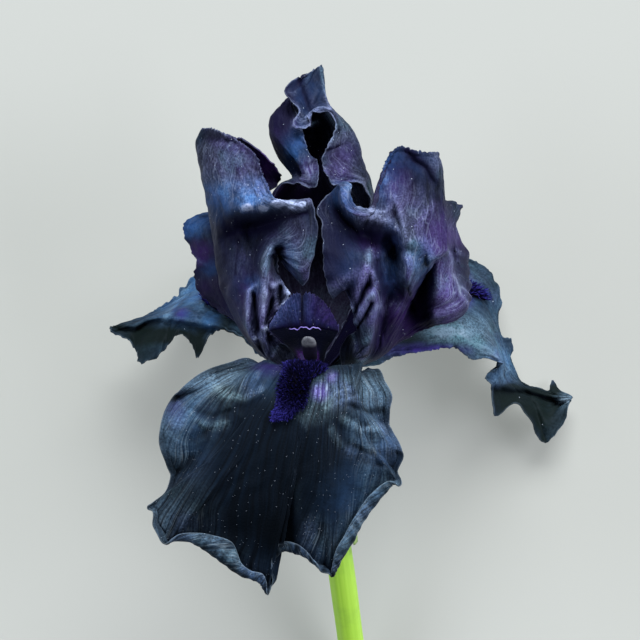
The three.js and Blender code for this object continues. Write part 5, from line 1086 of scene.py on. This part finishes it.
# folds of the back standard: lips round its tip and hollow, made pale with painted highlight, and pinches on
# its right lobe with painted shade
backFolds = [
    ([(-10.8, 68.4), (-9.3, 66.6), (-7.2, 64.8), (-6.3, 62.4), (-8.1, 59.7), (-7.8, 57.9), (-5.7, 57.6),
     (-2.7, 58.5), (-0.9, 59.4)], (0.6, 0.8), (0.9, 0.7), 0.6, 0.7, 0.5, -30),
    ([(-4.2, 60.6), (-2.1, 62.7), (0.6, 63.6), (3, 63.4)], (0.5, 0.8), (0.9, 0.7), 0.6, 0.7, 0.5, -30),
    ([(2.7, 62.1), (4.5, 58.5), (3.3, 55.5), (2.4, 52.5), (1.2, 50.7), (0.1, 48.6), (0.6, 46.5),
     (1.8, 43.5), (3.9, 40.2)], (0.8, 1), (0, 1), 0.4, 0.6, 0.8, -30),
    ([(-5.7, 72.6), (-4.5, 69), (-2.7, 63.6)], (0.9, 2), (-1, 1.6), 0.6, -0.5, 1.4, -30),
    ([(0.3, 76.2), (0.9, 72.3), (1.8, 67.5), (3, 63.9)], (0.3, 1), (0.8, 0.8), 0.6, 0.6, 0.6, -30),
    ([(-9.3, 68.4), (-7.8, 68.1)], (0.6, 0.8), (0.6, 0.8), 0.6, 1, 0.6, -30),
    ([(3.3, 55.2), (4.8, 56.7), (6.6, 57.6)], (0.7, 0.8), (-0.9, 0.7), 0.6, -0.7, 0.5, -30),
    ([(1.5, 51), (3.6, 51.6), (6, 52.8)], (0.9, 0.8), (-1.2, 0.7), 0.6, -0.9, 0.5, -30),
    ([(1.5, 50.1), (3.6, 50.1), (6.3, 50.7)], (-0.6, 0.6), (0.5, 0.7), 0.6, -0.5, 0.4, -30),
    ([(-3.9, 46.5), (-2.4, 47.4), (-0.6, 48)], (0.6, 0.8), (-0.8, 0.7), 0.6, -0.7, 0.6, -30),
    ([(-5.7, 41.7), (-3.3, 40.8), (-1.2, 40.8)], (0.4, 0.6), (-0.6, 0.6), 0.6, -0.5, 0.4, -30),
]
# colour zones of the back standard: veil and azure patches of its own colours and painted sheen, violet
# patches of its own colour and painted light shining through the blade, and shade patches of painted shade
backZones = {
    "veil": [
        (2.4, 69, 6, 3, 8, 90, 0.25), (-7.2, 60.6, 10, 4, 5, 90, 0.3), (-4.2, 59.4, 10, 6, 4, 90, 0.3),
        (6, 57, 10, 7, 10, 90, 0.35), (6, 44.4, 14, 9, 10, 90, 0.35), (-3.6, 44.1, 16, 6, 7, 90, 0.6),
        (11.4, 36.6, 18, 8, 9, 90, 1.4),
    ],
    "violet": [
        (6.6, 48.9, 12, 8, 7, 90, 0.3), (-13.2, 58.5, -4, 8, 12, 90, 0.6), (-3.6, 44.1, 16, 6, 7, 90, 0.8),
        (-9, 37.2, 10, 14, 6, 90, 0.6), (6, 42.6, 14, 7, 6, 90, 0.6),
    ],
    "azure": [
        (-7.2, 51, 0, 7, 11, 90, 0.7), (-5.1, 67.5, 4, 12, 14, 90, 0.3), (7.5, 40.5, 14, 6, 4, 90, 0.5),
    ],
    "shade": [
        (-12.9, 61.5, -4, 11, 17, 90, 1), (-11.1, 63.6, -4, 6, 10, 90, 0.8),
        (-2.4, 70.5, 6, 9, 12, 90, 0.45), (0, 54, -6, 6, 10, 16, 0.8), (0.6, 37.5, 0, 8, 14, 20, 1),
        (-10.2, 36, 6, 12, 6, 90, 0.6),
    ],
}
# folds of the left fall, with painted highlight and painted shade along them
leftFallFolds = [
    ([(-62.4, -1.8), (-55.8, -2.7), (-53.1, -0.9), (-50.4, 0), (-46.8, 0.3), (-39.9, -0.9), (-31.2, -2.4)],
     (1.2, 3), (-3, 5), 0.6, 0, 1, -60),
    ([(-44.4, 1.2), (-41.7, 5.1), (-39, 8.4)], (-1, 2), (0.6, 2), 1, -0.4, 1, -60),
    ([(-46.5, 0.6), (-43.2, 5.4), (-39.6, 9)], (0.6, 1.4), (0.6, 1.4), 0.6, 0.6, 1, -60),
    ([(-36.9, 1.2), (-34.5, 5.1), (-33, 7.2)], (0.5, 1.6), (-0.8, 2), 0.6, 0.3, 1, -60),
]
# colour zones of the left fall: veil and azure patches of its own colours and painted sheen, violet patches
# of its own colour and painted light shining through the blade, and shade patches of painted shade
leftFallZones = {
    "veil": [(-37.2, 6, -25, 10, 8, 90, 0.3), (-46.5, 1.5, -30, 6, 5, 90, 0.2)],
    "violet": [(-42, 1.8, -28, 4, 3, 90, 0.5)],
    "azure": [
        (-40.5, 3.6, -26, 18, 9, 90, 0.7), (-36, 10.5, -24, 8, 10, 90, 0.8),
        (-32.4, -0.6, -26, 5, 4, 90, 0.9),
    ],
    "shade": [
        (-51, -4.5, -34, 14, 4.5, 90, 1), (-54, -9.6, -38, 14, 10, 60, 1), (-37.5, -6, -32, 9, 5.5, 90, 1),
        (-36.9, -9.6, -34, 4, 6, 90, 1), (-61.5, -2.1, -38, 6, 3, 90, 1), (-44.4, -4.8, -34, 8, 4, 90, 1),
        (-28.8, -0.6, -24, 5, 7, 90, 0.9),
    ],
}
# folds of the right fall, with painted highlight along some of them
rightFallFolds = [
    ([(42.9, -3.9), (46.8, -7.5), (50.4, -9.6), (54, -12), (56.4, -15)], (0.8, 2), (-0.8, 2), 1, 0.4, 1,
     -60),
    ([(46.2, 6), (49.2, 0.6), (51.6, -4.2), (54, -9.6)], (-0.8, 2.5), (0.6, 2.5), 1, 0, 1, -60),
    ([(53.7, -20.4), (58.8, -21.3), (63.3, -21.6), (70.8, -24)], (0.8, 2), (-2.5, 4), 0.5, 0, 1, -60),
    ([(63, -21.3), (66, -27), (68.7, -34.8)], (0.8, 3), (-1, 3), 0.6, 0, 1, -60),
    ([(70.8, -22.5), (72.6, -25.5), (76.2, -24)], (0.6, 1.4), (-1, 1.4), 0.6, 0.6, 1, -60),
]
# colour zones of the right fall: veil and azure patches of its own colours and painted sheen, violet patches
# of its own colour and painted light shining through the blade, and shade patches of painted shade
rightFallZones = {
    "veil": [
        (41.4, -3, -16, 14, 6, 90, 0.7), (48.6, -4.5, -22, 9, 9, 90, 0.35),
        (53.1, -11.4, -28, 8, 7, 90, 0.5), (56.4, -18, -32, 6, 6, 90, 0.5), (74.1, -24, -40, 4, 4, 90, 0.9),
        (47.4, 10.5, -20, 5, 8, 90, 0.15), (36, -4.2, -14, 9, 4, 90, 0.7),
    ],
    "violet": [(30, -9, -12, 20, 3, 90, 1), (45, 9, -20, 3, 8, 90, 0.5)],
    "azure": [(49.5, 6, -20, 9, 9, 90, 0.2), (55.5, -13.5, -28, 9, 12, 90, 0.5)],
    "shade": [
        (25.5, -4.5, -10, 10, 8, 90, 1), (64.5, -23.4, -38, 9, 4, 90, 0.9),
        (56.4, -24.6, -36, 14, 12, 90, 1), (57.6, -21.6, -36, 5, 4, 90, 0.7),
        (52.5, -13.8, -30, 4, 3, 90, 1), (67.5, -29.4, -40, 16, 16, 90, 1),
        (52.2, 13.5, -22, 6, 14, 90, 0.6), (71.4, -21, -38, 3, 3, 90, 1),
    ],
}

# skin and slot, then for each petal its points, seed, folds, zones, least veil, way round and midrib
standard, side = (standardSkin, "standard_petal"), (sideSkin, "fall_petal")
makePetal("petal_standard_left", standardLeft, 232, 178, *standard, 11, leftFolds, leftZones, 0.06, 1, 0.1)
makePetal("petal_standard_right", standardRight, 232, 178, *standard, 23, rightFolds, rightZones, 0.05, -1)
makePetal("petal_standard_back", standardBack, 176, 124, *standard, 37, backFolds, backZones, 0.08, -1)
makePetal("petal_fall_left", fallLeft, 140, 72, *side, 53, leftFallFolds, leftFallZones, 0.1)
makePetal("petal_fall_right", fallRight, 160, 74, *side, 61, rightFallFolds, rightFallZones, 0.2, -1)
makeFrontFall()


# Beards: dense soft hairs over the throat end of each fall, near black with a few bright violet tips
beardLook = {
    "root": "#020207", "tip": "#0b0a28", "bright": "#4a46b8", "roughness": 0.6, "specular": 0.02,
}


def beardMaterial(name, look):
    material, tree, shader = newMaterial(name)
    tip = addNode(tree, "Attribute", None, "Fac", attribute_name="tip")
    bright = addNode(tree, "Attribute", None, "Fac", attribute_name="bright")
    fibre = addNode(tree, "Mix", {0: tip, 6: look["root"], 7: look["tip"]}, 2, **blend)
    end = addNode(tree, "Math", {0: tip, 1: 2.0}, 0, operation="POWER")
    share = addNode(tree, "Math", {0: end, 1: bright}, 0, operation="MULTIPLY")
    fibre = addNode(tree, "Mix", {0: share, 6: fibre, 7: look["bright"]}, 2, **blend)
    fillInputs(tree, shader, {
        "Base Color": fibre, "Roughness": look["roughness"], "Specular IOR Level": look["specular"]})
    return material


beardFibre = beardMaterial("beard_fibre_soft", beardLook)  # fleshy hairs, dark with light tips


def beardGround(at, halfWidth, steps=50, arc=24):
    # the ground under a beard: a grid of points with their directions, t along and c across
    t = np.linspace(0, 1, steps)
    c = np.linspace(-1, 1, arc)
    wide = halfWidth * (1.15 - 0.8 * t) * np.sqrt(np.maximum(1 - (2 * t - 1) ** 4, 0.08))
    ground = np.array([at(t[i], wide[i] * c) for i in range(steps)])
    run = unit(np.gradient(ground, axis=0))
    across = unit(np.gradient(ground, axis=1))
    up = unit(np.cross(across, run))
    up *= np.where(up[..., 1:2] + up[..., 2:3] < 0, -1, 1)
    thick = np.sqrt(np.maximum(1 - c[None, :] ** 2, 0.03))
    thick = thick * np.sqrt(np.maximum(1 - (2 * t[:, None] - 1) ** 4, 0.08))
    return ground, run, across, up, thick


def makeBeard(name, nodeName, at, beard):
    ground, run, across, up, thick = beardGround(at, beard["halfWidth"])
    steps, arc = thick.shape
    mound = ground + up * (beard["lift"] + beard["height"] * thick)[..., None]
    index = np.arange(steps * arc).reshape(steps, arc)
    verts = [mound.reshape(-1, 3)]
    square = (index[:-1, :-1], index[:-1, 1:], index[1:, 1:], index[1:, :-1])
    faces = [np.stack(square, axis=-1).reshape(-1, 4)]
    tips, brights = [np.zeros(steps * arc)], [np.zeros(steps * arc)]
    draw = np.random.default_rng(beard["seed"])
    count, sides, parts = beard["hairs"], 3, 4  # each hair is a bent prism of 4 parts with 3 sides
    t = draw.uniform(0.0, 1.0, count)
    c = draw.uniform(-1.0, 1.0, count)
    i = np.clip((t * (steps - 1)).astype(int), 0, steps - 1)
    k = np.clip(((c + 1) / 2 * (arc - 1)).astype(int), 0, arc - 1)
    i2, k2 = np.minimum(i + 1, steps - 1), np.minimum(k + 1, arc - 1)
    ft, fc = (t * (steps - 1) - i)[:, None], ((c + 1) / 2 * (arc - 1) - k)[:, None]
    root = (mound[i, k] * (1 - ft) * (1 - fc) + mound[i2, k] * ft * (1 - fc) + mound[i, k2] * (1 - ft) * fc
            + mound[i2, k2] * ft * fc)
    aim = unit(up[i, k] + across[i, k] * (beard["splay"] * c)[:, None]
               + run[i, k] * ((t - 0.4) * 1.5)[:, None] + draw.normal(0, 0.32, (count, 3)))
    bend = run[i, k] * draw.uniform(-0.1, 0.5, count)[:, None]
    bend = bend + across[i, k] * draw.normal(0, 0.2, count)[:, None]
    long = beard["length"] * draw.uniform(0.65, 1.15, count) * np.minimum(1, 0.5 + 3 * t)
    sideways = unit(np.cross(aim, run[i, k]))
    deep = np.cross(aim, sideways)
    # bright violet tips, partly their own colour and partly painted highlight, along the left side, at the
    # far end and along the right side, and a few among the others
    edge = (np.clip((-c - 0.5) / 0.4, 0, 1) * 0.6 + 1.4 * np.clip((t - 0.72) / 0.2, 0, 1)
            + np.clip((c - 0.7) / 0.2, 0, 1) * beard["rightLight"])
    bright = 0.7 * edge * draw.uniform(0, 1, count) ** 1.5
    bright = np.clip(bright + (draw.uniform(0, 1, count) > 0.86) * 0.4, 0, 1)
    base = steps * arc
    rings = []
    for p in range(parts + 1):
        s = p / parts
        middle = root + aim * (long * s)[:, None] + bend * (long * s * s * 0.5)[:, None]
        radius = beard["radius"] * (1 - 0.65 * s) * (0.15 if p == parts else 1)
        for q in range(sides):
            turn = 2 * math.pi * q / sides
            rings.append(middle + radius * (math.cos(turn) * sideways + math.sin(turn) * deep))
        tips += [np.full(count, s)] * sides
        brights += [bright] * sides
    verts.append(np.concatenate(rings))
    hair = np.arange(count)
    for p in range(parts):
        for q in range(sides):
            a = base + (p * sides + q) * count + hair
            b = base + (p * sides + (q + 1) % sides) * count + hair
            faces.append(np.stack([a, b, b + sides * count, a + sides * count], axis=-1))
    verts = np.concatenate(verts)
    values = {"tip": np.concatenate(tips), "bright": np.concatenate(brights)}
    addPiece(name, verts, faces, beardFibre, nodeName, values, verts[:, :2])
    print("beard:", name, count, "hairs")


def frontBeardAt(t, wide):
    u = 0.43 - 0.07 * t * t + wide * (0.05 - 0.04 * t)
    return frontPoints(u, [0.195 + 0.255 * t], frontMargin(u), frontEven(u))[0]


frontBeard = {  # lengths in millimetres
    "halfWidth": 4.9, "lift": 0.5, "height": 2.2, "hairs": 3000, "length": 1.7, "radius": 0.17, "splay": 0.9,
    "rightLight": 0.5, "seed": 71,
}
sideBeard = {
    "halfWidth": 2.2, "lift": 0.4, "height": 1.8, "hairs": 900, "length": 2.4, "radius": 0.15, "splay": 1.0,
    "rightLight": 1.0,
}
makeBeard("hairs_front", "beard_front", frontBeardAt, frontBeard)
makeBeard("hairs_left", "beard_left",
          lambda t, wide: petalPoints(fallLeft, 0.5 + wide * 0.05, [0.2 + 0.32 * t])[0],
          {**sideBeard, "seed": 97})
makeBeard("hairs_right", "beard_right",
          lambda t, wide: petalPoints(fallRight, 0.55 + 0.08 * t + wide * 0.04, [0.2 + 0.33 * t])[0],
          {**sideBeard, "seed": 131})


# Style arms: an arched strap over each fall that ends in an upturned crest of two toothed lobes
strapLine = np.array([  # place along, front, up, half width
    [0, 2.8, 0.6, 2], [0.25, 8, 6.8, 3.5], [0.5, 16, 15.5, 5.2], [0.75, 24, 24.2, 8.6], [1, 28, 28.5, 10.4]])
crestHeight = np.array([  # share of the width, height
    [0, 1.5], [0.15, 5.6], [0.33, 8.8], [0.42, 9.4], [0.47, 8.6], [0.53, 9.5], [0.7, 8.6], [0.85, 6],
    [1, 1.4]])
styleSkin = petalMaterial("style_crest_satin", {  # satin skin, indigo with a violet glow below the crest
    **petalLook, "dark": "#06051a", "deep": "#0c0c2e", "night": "#050212", "veil": "#232d4c",
    "hueTurn": 0.0, "violet": "#120a38", "azure": "#16203f", "veilAzure": "#212c55",
    "veilViolet": "#b04cff", "under": "#160c40", "underDark": "#0a0522", "pale": "#7d80c4",
    "roughness": 0.45, "glint": 0.12, "veinSpacing": 0.9, "rimStrength": 0.12, "line": 0.15,
})
styleSetup = {
    "strap": 0.68, "crest": 0.32,  # shares of the length
    "tooth": 0.4, "toothCount": 42,  # millimetres, teeth across both lobes
    "split": 0.47, "splitWidth": 0.014, "grooveWidth": 0.03,  # shares of the width
    "splitDepth": 1.6,  # millimetres
    "rib": 0.05, "ribCount": 20,
    "foot": (2.9, 0.6), "sideBack": 2.2, "sideDown": 2.6,  # millimetres: front and up, bend of the strap
    "skinWide": 22.0, "skinLong": 45.0,  # millimetres
}


def makeStyle(name, nodeName, azimuth, sway, size, rows, cols):
    share = np.linspace(0, 1, rows)[:, None]
    strap = np.clip(share / styleSetup["strap"], 0, 1)
    crest = np.clip((share - styleSetup["strap"]) / styleSetup["crest"], 0, 1)
    u = crowded(cols)[None, :]
    c = 2 * u - 1
    station = curve(strapLine[:, 0], strapLine[:, 1:], strap[:, 0])
    front, up, half = station[:, 0:1], station[:, 1:2], station[:, 2:3]
    split = np.exp(-((u - styleSetup["split"]) / styleSetup["splitWidth"]) ** 2)
    saw = np.abs((u * styleSetup["toothCount"] + 0.6 * np.sin(u * 41)) % 1 - 0.5) * 2
    teeth = styleSetup["tooth"] * (saw - 0.5) + 0.3 * ripple(u, 301, 12, 40)
    high = curve(crestHeight[:, 0], crestHeight[:, 1], u[0])[None, :]
    lift = (high + (teeth - 2.2 * split) * crest**2) * crest
    right = (half * c + sway * strap) * size
    cup = 1.4 * crest * (1 - crest) * 4 * (0.25 - (np.abs(c) - 0.5) ** 2)
    footFront, footUp = styleSetup["foot"]
    out = footFront + (front - footFront - 0.38 * lift - styleSetup["sideBack"] * strap * c * c + cup) * size
    tall = footUp + (up - footUp - styleSetup["sideDown"] * strap * c * c + lift) * size
    points = roundAxis(right, out, tall, azimuth)
    normal = gridNormals(points)
    ribs = ripple(u, 305, styleSetup["ribCount"] * 0.6, styleSetup["ribCount"])
    ribs = ribs * styleSetup["rib"] * ease(crest * 2)
    slit = split * styleSetup["splitDepth"] * ease(crest * 3) * size
    groove = np.exp(-((u - styleSetup["split"]) / styleSetup["grooveWidth"]) ** 2) * ease(crest * 8)
    facing = np.sign(normal[rows * 5 // 6, cols // 3, 2])
    points = points + normal * (ribs - slit * facing)[..., None]
    rim = marginDistance(points)
    hollowShade, raised = relief(points, gridNormals(points) * facing, 4, 0.8)
    # only the arm that faces the viewer is lit from behind
    sides = np.exp(-((c + 0.6) / 0.3) ** 2) + 0.8 * np.exp(-((c - 0.45) / 0.2) ** 2)
    glow = np.exp(-((strap - 0.38) / 0.13) ** 2) * sides * (size == 1)
    # painted shade in the split groove, the hollows, the strap under the crest and the strap's right side;
    # the veil fades from the left lobe to the right as painted light, and the glow below the crest is painted
    # light from behind
    shade = (groove + hollowShade * 0.6 + 0.7 * (1 - ease(crest * 6)) * (1 - glow)
             + ease((u - 0.8) / 0.2) * 0.6 * (1 - crest))
    extras = {
        "veil": np.clip(0.1 + crest * (1.05 - 1.1 * u), 0, 1) * ease(crest * 4) + 1.4 * glow,
        "violet": np.clip(np.clip(0.4 * (u - 0.5), 0, 0.16) * ease(crest * 3) + glow, 0, 1),
        "azure": 0.5 * np.exp(-((u - 0.4) / 0.2) ** 2) * crest,
        "hollowShade": np.clip(shade, 0, 1),
        "crest": raised * 0.6,
    }
    across = (u - styleSetup["split"]) * styleSetup["skinWide"] * (1.2 - 0.5 * crest)
    down = np.broadcast_to(share * styleSetup["skinLong"], rim.shape)
    if facing < 0:
        points, rim, across, down = points[:, ::-1], rim[:, ::-1], across[:, ::-1], down[:, ::-1]
        extras = {key: value[:, ::-1] for key, value in extras.items()}
    extras = {key: np.broadcast_to(value, rim.shape) for key, value in extras.items()}
    bladeMesh(name, points, petalThickness, rim, across, down, styleSkin, nodeName, extras)
    print("style:", name, rim.size, "points")


makeStyle("crest_front", "style_front", -2, -2.4, 1, 90, 150)
makeStyle("crest_left", "style_left", -120, 0, 0.66, 50, 90)
makeStyle("crest_right", "style_right", 120, 0, 0.66, 50, 90)

# Stigma lip: a thin wavy flap under the crest, light violet along its edge
lipSetup = {  # shares of the half width, then millimetres
    "from": -0.52, "to": 0.4, "half": 10.4, "front": 28, "frontBend": 2.2, "up": 28.5, "upBend": 4.2,
    "length": 0.3, "wave": 0.3, "drop": 0.2, "sway": -2.4, "thickness": 0.2, "skinWide": 14, "skinLong": 2,
}
lipSkin = petalMaterial("stigma_lip_violet", {  # moist thin flap: bright violet edge
    **petalLook, "dark": "#2a1670", "deep": "#3a2688", "veil": "#6a5cb0", "violet": "#5a2f90",
    "veilViolet": "#6a5cb0", "pale": "#b3a6e4", "roughness": 0.45, "rimStrength": 0.45, "glint": 0.0,
    "under": "#3a1f80", "underDark": "#241058",
})


def makeLip():
    u = np.linspace(0, 1, 90)
    c = lipSetup["from"] + (lipSetup["to"] - lipSetup["from"]) * u
    t = np.linspace(0, 1, 12)[:, None]
    wave = lipSetup["wave"] * (np.sin(2 * math.pi * 2.6 * u + 0.6) + 0.6 * np.sin(2 * math.pi * 5.3 * u + 2))
    reach = lipSetup["length"] * t * np.sqrt(np.clip(1 - (2 * u - 1) ** 4, 0.05, 1))
    right = lipSetup["half"] * c + lipSetup["sway"] + 0 * t
    out = lipSetup["front"] - lipSetup["frontBend"] * c * c + 0.3 + reach * 0.95
    tall = lipSetup["up"] - lipSetup["upBend"] * c * c - lipSetup["drop"] - reach * 0.45 + wave
    points = place(right, out, tall)
    rim = marginDistance(points)
    flat = np.ones(rim.shape)
    extras = {"veil": flat * 0.5, "violet": flat * 0.4}
    extras.update({key: flat * 0 for key in ("azure", "hollowShade", "crest")})
    bladeMesh("stigma_lip", points, lipSetup["thickness"], rim, flat * u * lipSetup["skinWide"],
              flat * t * lipSetup["skinLong"], lipSkin, None, extras)
    print("style: stigma_lip", rim.size, "points")


makeLip()


# Round pieces: rings round a line of points, each with its radius
def turnedPiece(name, nodeName, centres, radii, sides, material, frameDirs, ribs=0.0, ribCount=3,
                squash=1.0):
    sideways, deep = frameDirs
    turn = np.linspace(0, 2 * math.pi, sides, endpoint=False)
    wide = radii[:, None] * (1 + ribs * np.cos(ribCount * turn))[None, :]
    verts = (centres[:, None, :] + wide[..., None] * squash * np.cos(turn)[None, :, None] * sideways
             + wide[..., None] * np.sin(turn)[None, :, None] * deep)
    rings = len(centres)
    index = np.arange(rings * sides).reshape(rings, sides)
    after = np.roll(index, -1, axis=1)
    wall = np.stack([index[:-1], index[1:], after[1:], after[:-1]], axis=-1).reshape(-1, 4)
    along = np.concatenate([[0], np.cumsum(np.linalg.norm(np.diff(centres, axis=0), axis=1))])
    skin = np.stack(np.broadcast_arrays(turn[None, :] * radii.mean(), along[:, None]), axis=-1).reshape(-1, 2)
    length = np.repeat(along / along[-1], sides)
    addPiece(name, verts.reshape(-1, 3), [wall, [index[0]], [index[-1][::-1]]], material, nodeName,
             {"length": length}, skin)
    print("round:", name, rings * sides, "vertices")


def plantMaterial(name, look):
    # skin with fine lengthwise lines, from one colour at its start to another at its end
    material, tree, shader = newMaterial(name)
    onSkin = addNode(tree, "UVMap", None, "UV", uv_map="skin")
    body = addNode(tree, "TexCoord", None, "Object")
    length = addNode(tree, "Attribute", None, "Fac", attribute_name="length")
    linePlace = addNode(tree, "VectorMath",
        {0: onSkin, 1: (1 / look["lineSpacing"], 1 / look["lineLength"], 0)}, 0, operation="MULTIPLY")
    lines = addNode(tree, "TexNoise", {"Vector": linePlace, "Scale": 1.0, "Detail": 3.0}, "Fac")
    lineShare = addNode(tree, "MapRange",
        {"Value": lines, "From Min": 0.35, "From Max": 0.65}, "Result", **smooth)
    lineFaint = addNode(tree, "Math", {0: lineShare, 1: look["lineStrength"]}, 0, operation="MULTIPLY")
    mottle = addNode(tree, "TexNoise",
        {"Vector": body, "Scale": 1 / (look["mottle"] * mm), "Detail": 4.0, "Roughness": 0.6}, "Fac")
    far = addNode(tree, "MapRange",
        {"Value": length, "From Min": look["change"][0], "From Max": look["change"][1]}, "Result", **smooth)
    blot = addNode(tree, "MapRange",
        {"Value": mottle, "From Min": 0.45, "From Max": 0.7, "To Max": look["blotStrength"]},
        "Result", **smooth)
    skin = look["start"]
    for share, colour in ((far, "end"), (lineFaint, "line"), (blot, "blot")):
        skin = addNode(tree, "Mix", {0: share, 6: skin, 7: look[colour]}, 2, **blend)
    rough = addNode(tree, "Math", {0: mottle, 1: 0.15, 2: look["roughness"]}, 0, operation="MULTIPLY_ADD")
    height = addNode(tree, "Math", {0: lines, 1: look["relief"]}, 0, operation="MULTIPLY")
    bump = addNode(tree, "Bump", {"Height": height, "Distance": mm}, "Normal")
    fillInputs(tree, shader, {
        "Base Color": skin, "Roughness": rough, "Specular IOR Level": look["specular"], "Normal": bump})
    return material


greenLook = {
    "start": "#6f9a36", "end": "#9bcb3c", "line": "#afda52", "blot": "#5f8f38", "lineSpacing": 0.9,
    "lineLength": 40.0,
    "lineStrength": 0.35, "mottle": 9.0, "blotStrength": 0.25, "change": (0.0, 0.5),
    "roughness": 0.38, "specular": 0.5, "relief": 0.12,
}
stemSkin = plantMaterial("stem_epidermis_waxy", greenLook)  # fresh green stalk, fine ribs under thin wax
tubeSkin = plantMaterial("tube_epidermis", {  # tube stained violet at its top, green over the ovary
    **greenLook, "start": "#1d1238", "end": "#7fae45", "line": "#4d6a3a", "change": (0.1, 0.42),
    "roughness": 0.45,
})
antherSkin = plantMaterial("pollen_powder", {  # dry pale pollen over a violet filament
    **greenLook, "start": "#0d0822", "end": "#7c7f84", "line": "#2a2548", "blot": "#1c1836",
    "lineSpacing": 0.5, "lineLength": 3.0, "lineStrength": 0.1, "mottle": 1.6, "blotStrength": 0.5,
    "change": (0.84, 0.92), "roughness": 0.85, "specular": 0.2, "relief": 0.2,
})
spatheSkin = plantMaterial("spathe_papery", {  # dry sheath: soft green, veined, papery brown at its tip
    **greenLook, "start": "#7d9a5a", "end": "#94876a", "line": "#a3ad78", "blot": "#7c6f8a",
    "change": (0.55, 1.0), "roughness": 0.7, "specular": 0.25, "lineSpacing": 1.3, "mottle": 12.0,
    "blotStrength": 0.4, "relief": 0.2,
})


def axisPoint(down):
    down = np.asarray(down, float)
    return np.stack([tubeTop[0] + 0.12 * down, tubeTop[1] - down * leanCos, tubeTop[2] - down * leanSin],
                    axis=-1)


axisDirs = (np.array([1.0, 0, 0]), np.array([0, -leanSin, leanCos]))
# millimetres down from the tube's top, radius
tubeRings = np.array([[0, 4.8], [3, 4], [8, 3.3], [13, 3.6], [19, 5], [26, 5.4], [33, 4.8], [38, 4]])
stemRings = np.array([[38.35, 4], [60, 4], [85, 4], [109.85, 4]])
down = np.linspace(tubeRings[0, 0], tubeRings[-1, 0], 60)
radii = curve(tubeRings[:, 0], tubeRings[:, 1], down)
turnedPiece("tube", "tube_ovary", axisPoint(down), radii, 48, tubeSkin, axisDirs, 0.03)
down = np.linspace(stemRings[0, 0], stemRings[-1, 0], 80)
radii = curve(stemRings[:, 0], stemRings[:, 1], down) + 0.06 * np.sin(down / 5)
turnedPiece("stalk", "stem", axisPoint(down), radii, 56, stemSkin, axisDirs, 0.012, 9)


stamenLine = np.array([  # station, front, up, radius: the filament and from station 3 the anther
    [0, 4.05, 0.6, 0.35], [1, 9, 3.9, 0.38], [2, 18, 12.8, 0.4], [3, 19, 13.8, 1], [4, 22.5, 17.9, 1.15],
    [5, 26, 22.8, 1.1], [6, 27.4, 24.7, 0.6]])


def makeStamen(name, nodeName, azimuth, sway, size):
    share = np.linspace(0, 6, 70)
    front, up, radius = curve(stamenLine[:, 0], stamenLine[:, 1:], share).T
    radius = np.minimum(radius, np.sqrt(np.clip((6.05 - share) * 3, 0, 9)) * 0.6)
    footFront, footUp = stamenLine[0, 1:3]
    centres = roundAxis(sway * share / 6, footFront + (front - footFront) * size,
                        footUp + (up - footUp) * size, azimuth)
    tangent = centres[-1] - centres[0]
    tangent /= np.linalg.norm(tangent)
    sideways = roundAxis(1.0, 0.0, 0.0, azimuth) - place(0.0, 0.0, 0.0)
    deep = np.cross(sideways, tangent)
    turnedPiece(name, nodeName, centres, radius, 24, antherSkin, (sideways, deep),
                ribs=0.36, ribCount=2, squash=1.4)


makeStamen("anther_front", "stamen_front", -2, -1.2, 1)
makeStamen("anther_left", "stamen_left", -120, 0, 0.66)
makeStamen("anther_right", "stamen_right", 120, 0, 0.66)


spatheSetup = {"wave": 0.25, "waveCount": 9, "skinWide": 12, "skinLong": 48}  # lengths in millimetres
outerSpathe = {"top": 9, "bottom": 56, "near": 6, "far": 8.2, "facing": -90, "spread": 125}  # mm and degrees
innerSpathe = {"top": 6, "bottom": 50, "near": 4.85, "far": 6.9, "facing": 90, "spread": 110}


def makeSpathe(name, nodeName, spathe):
    t = np.linspace(0, 1, 70)
    j = np.linspace(-1, 1, 60)
    down = spathe["bottom"] + (spathe["top"] - spathe["bottom"]) * t
    centre = axisPoint(down)
    radius = spathe["near"] + (spathe["far"] - spathe["near"]) * ease(t * 1.6)
    reach = np.radians(spathe["spread"] * (1 - 0.92 * t**3))
    turn = math.radians(spathe["facing"]) + reach[:, None] * j[None, :]
    wave = spatheSetup["wave"] * np.sin(spatheSetup["waveCount"] * t)[:, None] * np.abs(j)[None, :] ** 3
    radius = (radius[:, None] + wave)[..., None]
    ring = np.cos(turn)[..., None] * axisDirs[0] + np.sin(turn)[..., None] * axisDirs[1]
    points = centre[:, None, :] + radius * ring
    rim = marginDistance(points)
    extras = {"length": np.broadcast_to(t[:, None], rim.shape)}
    flat = np.ones(rim.shape)
    bladeMesh(name, points, petalThickness, rim, flat * j[None, :] * spatheSetup["skinWide"],
              flat * t[:, None] * spatheSetup["skinLong"], spatheSkin, nodeName, extras)
    print("spathe:", name)


makeSpathe("sheath_outer", "spathe_outer", outerSpathe)
makeSpathe("sheath_inner", "spathe_inner", innerSpathe)
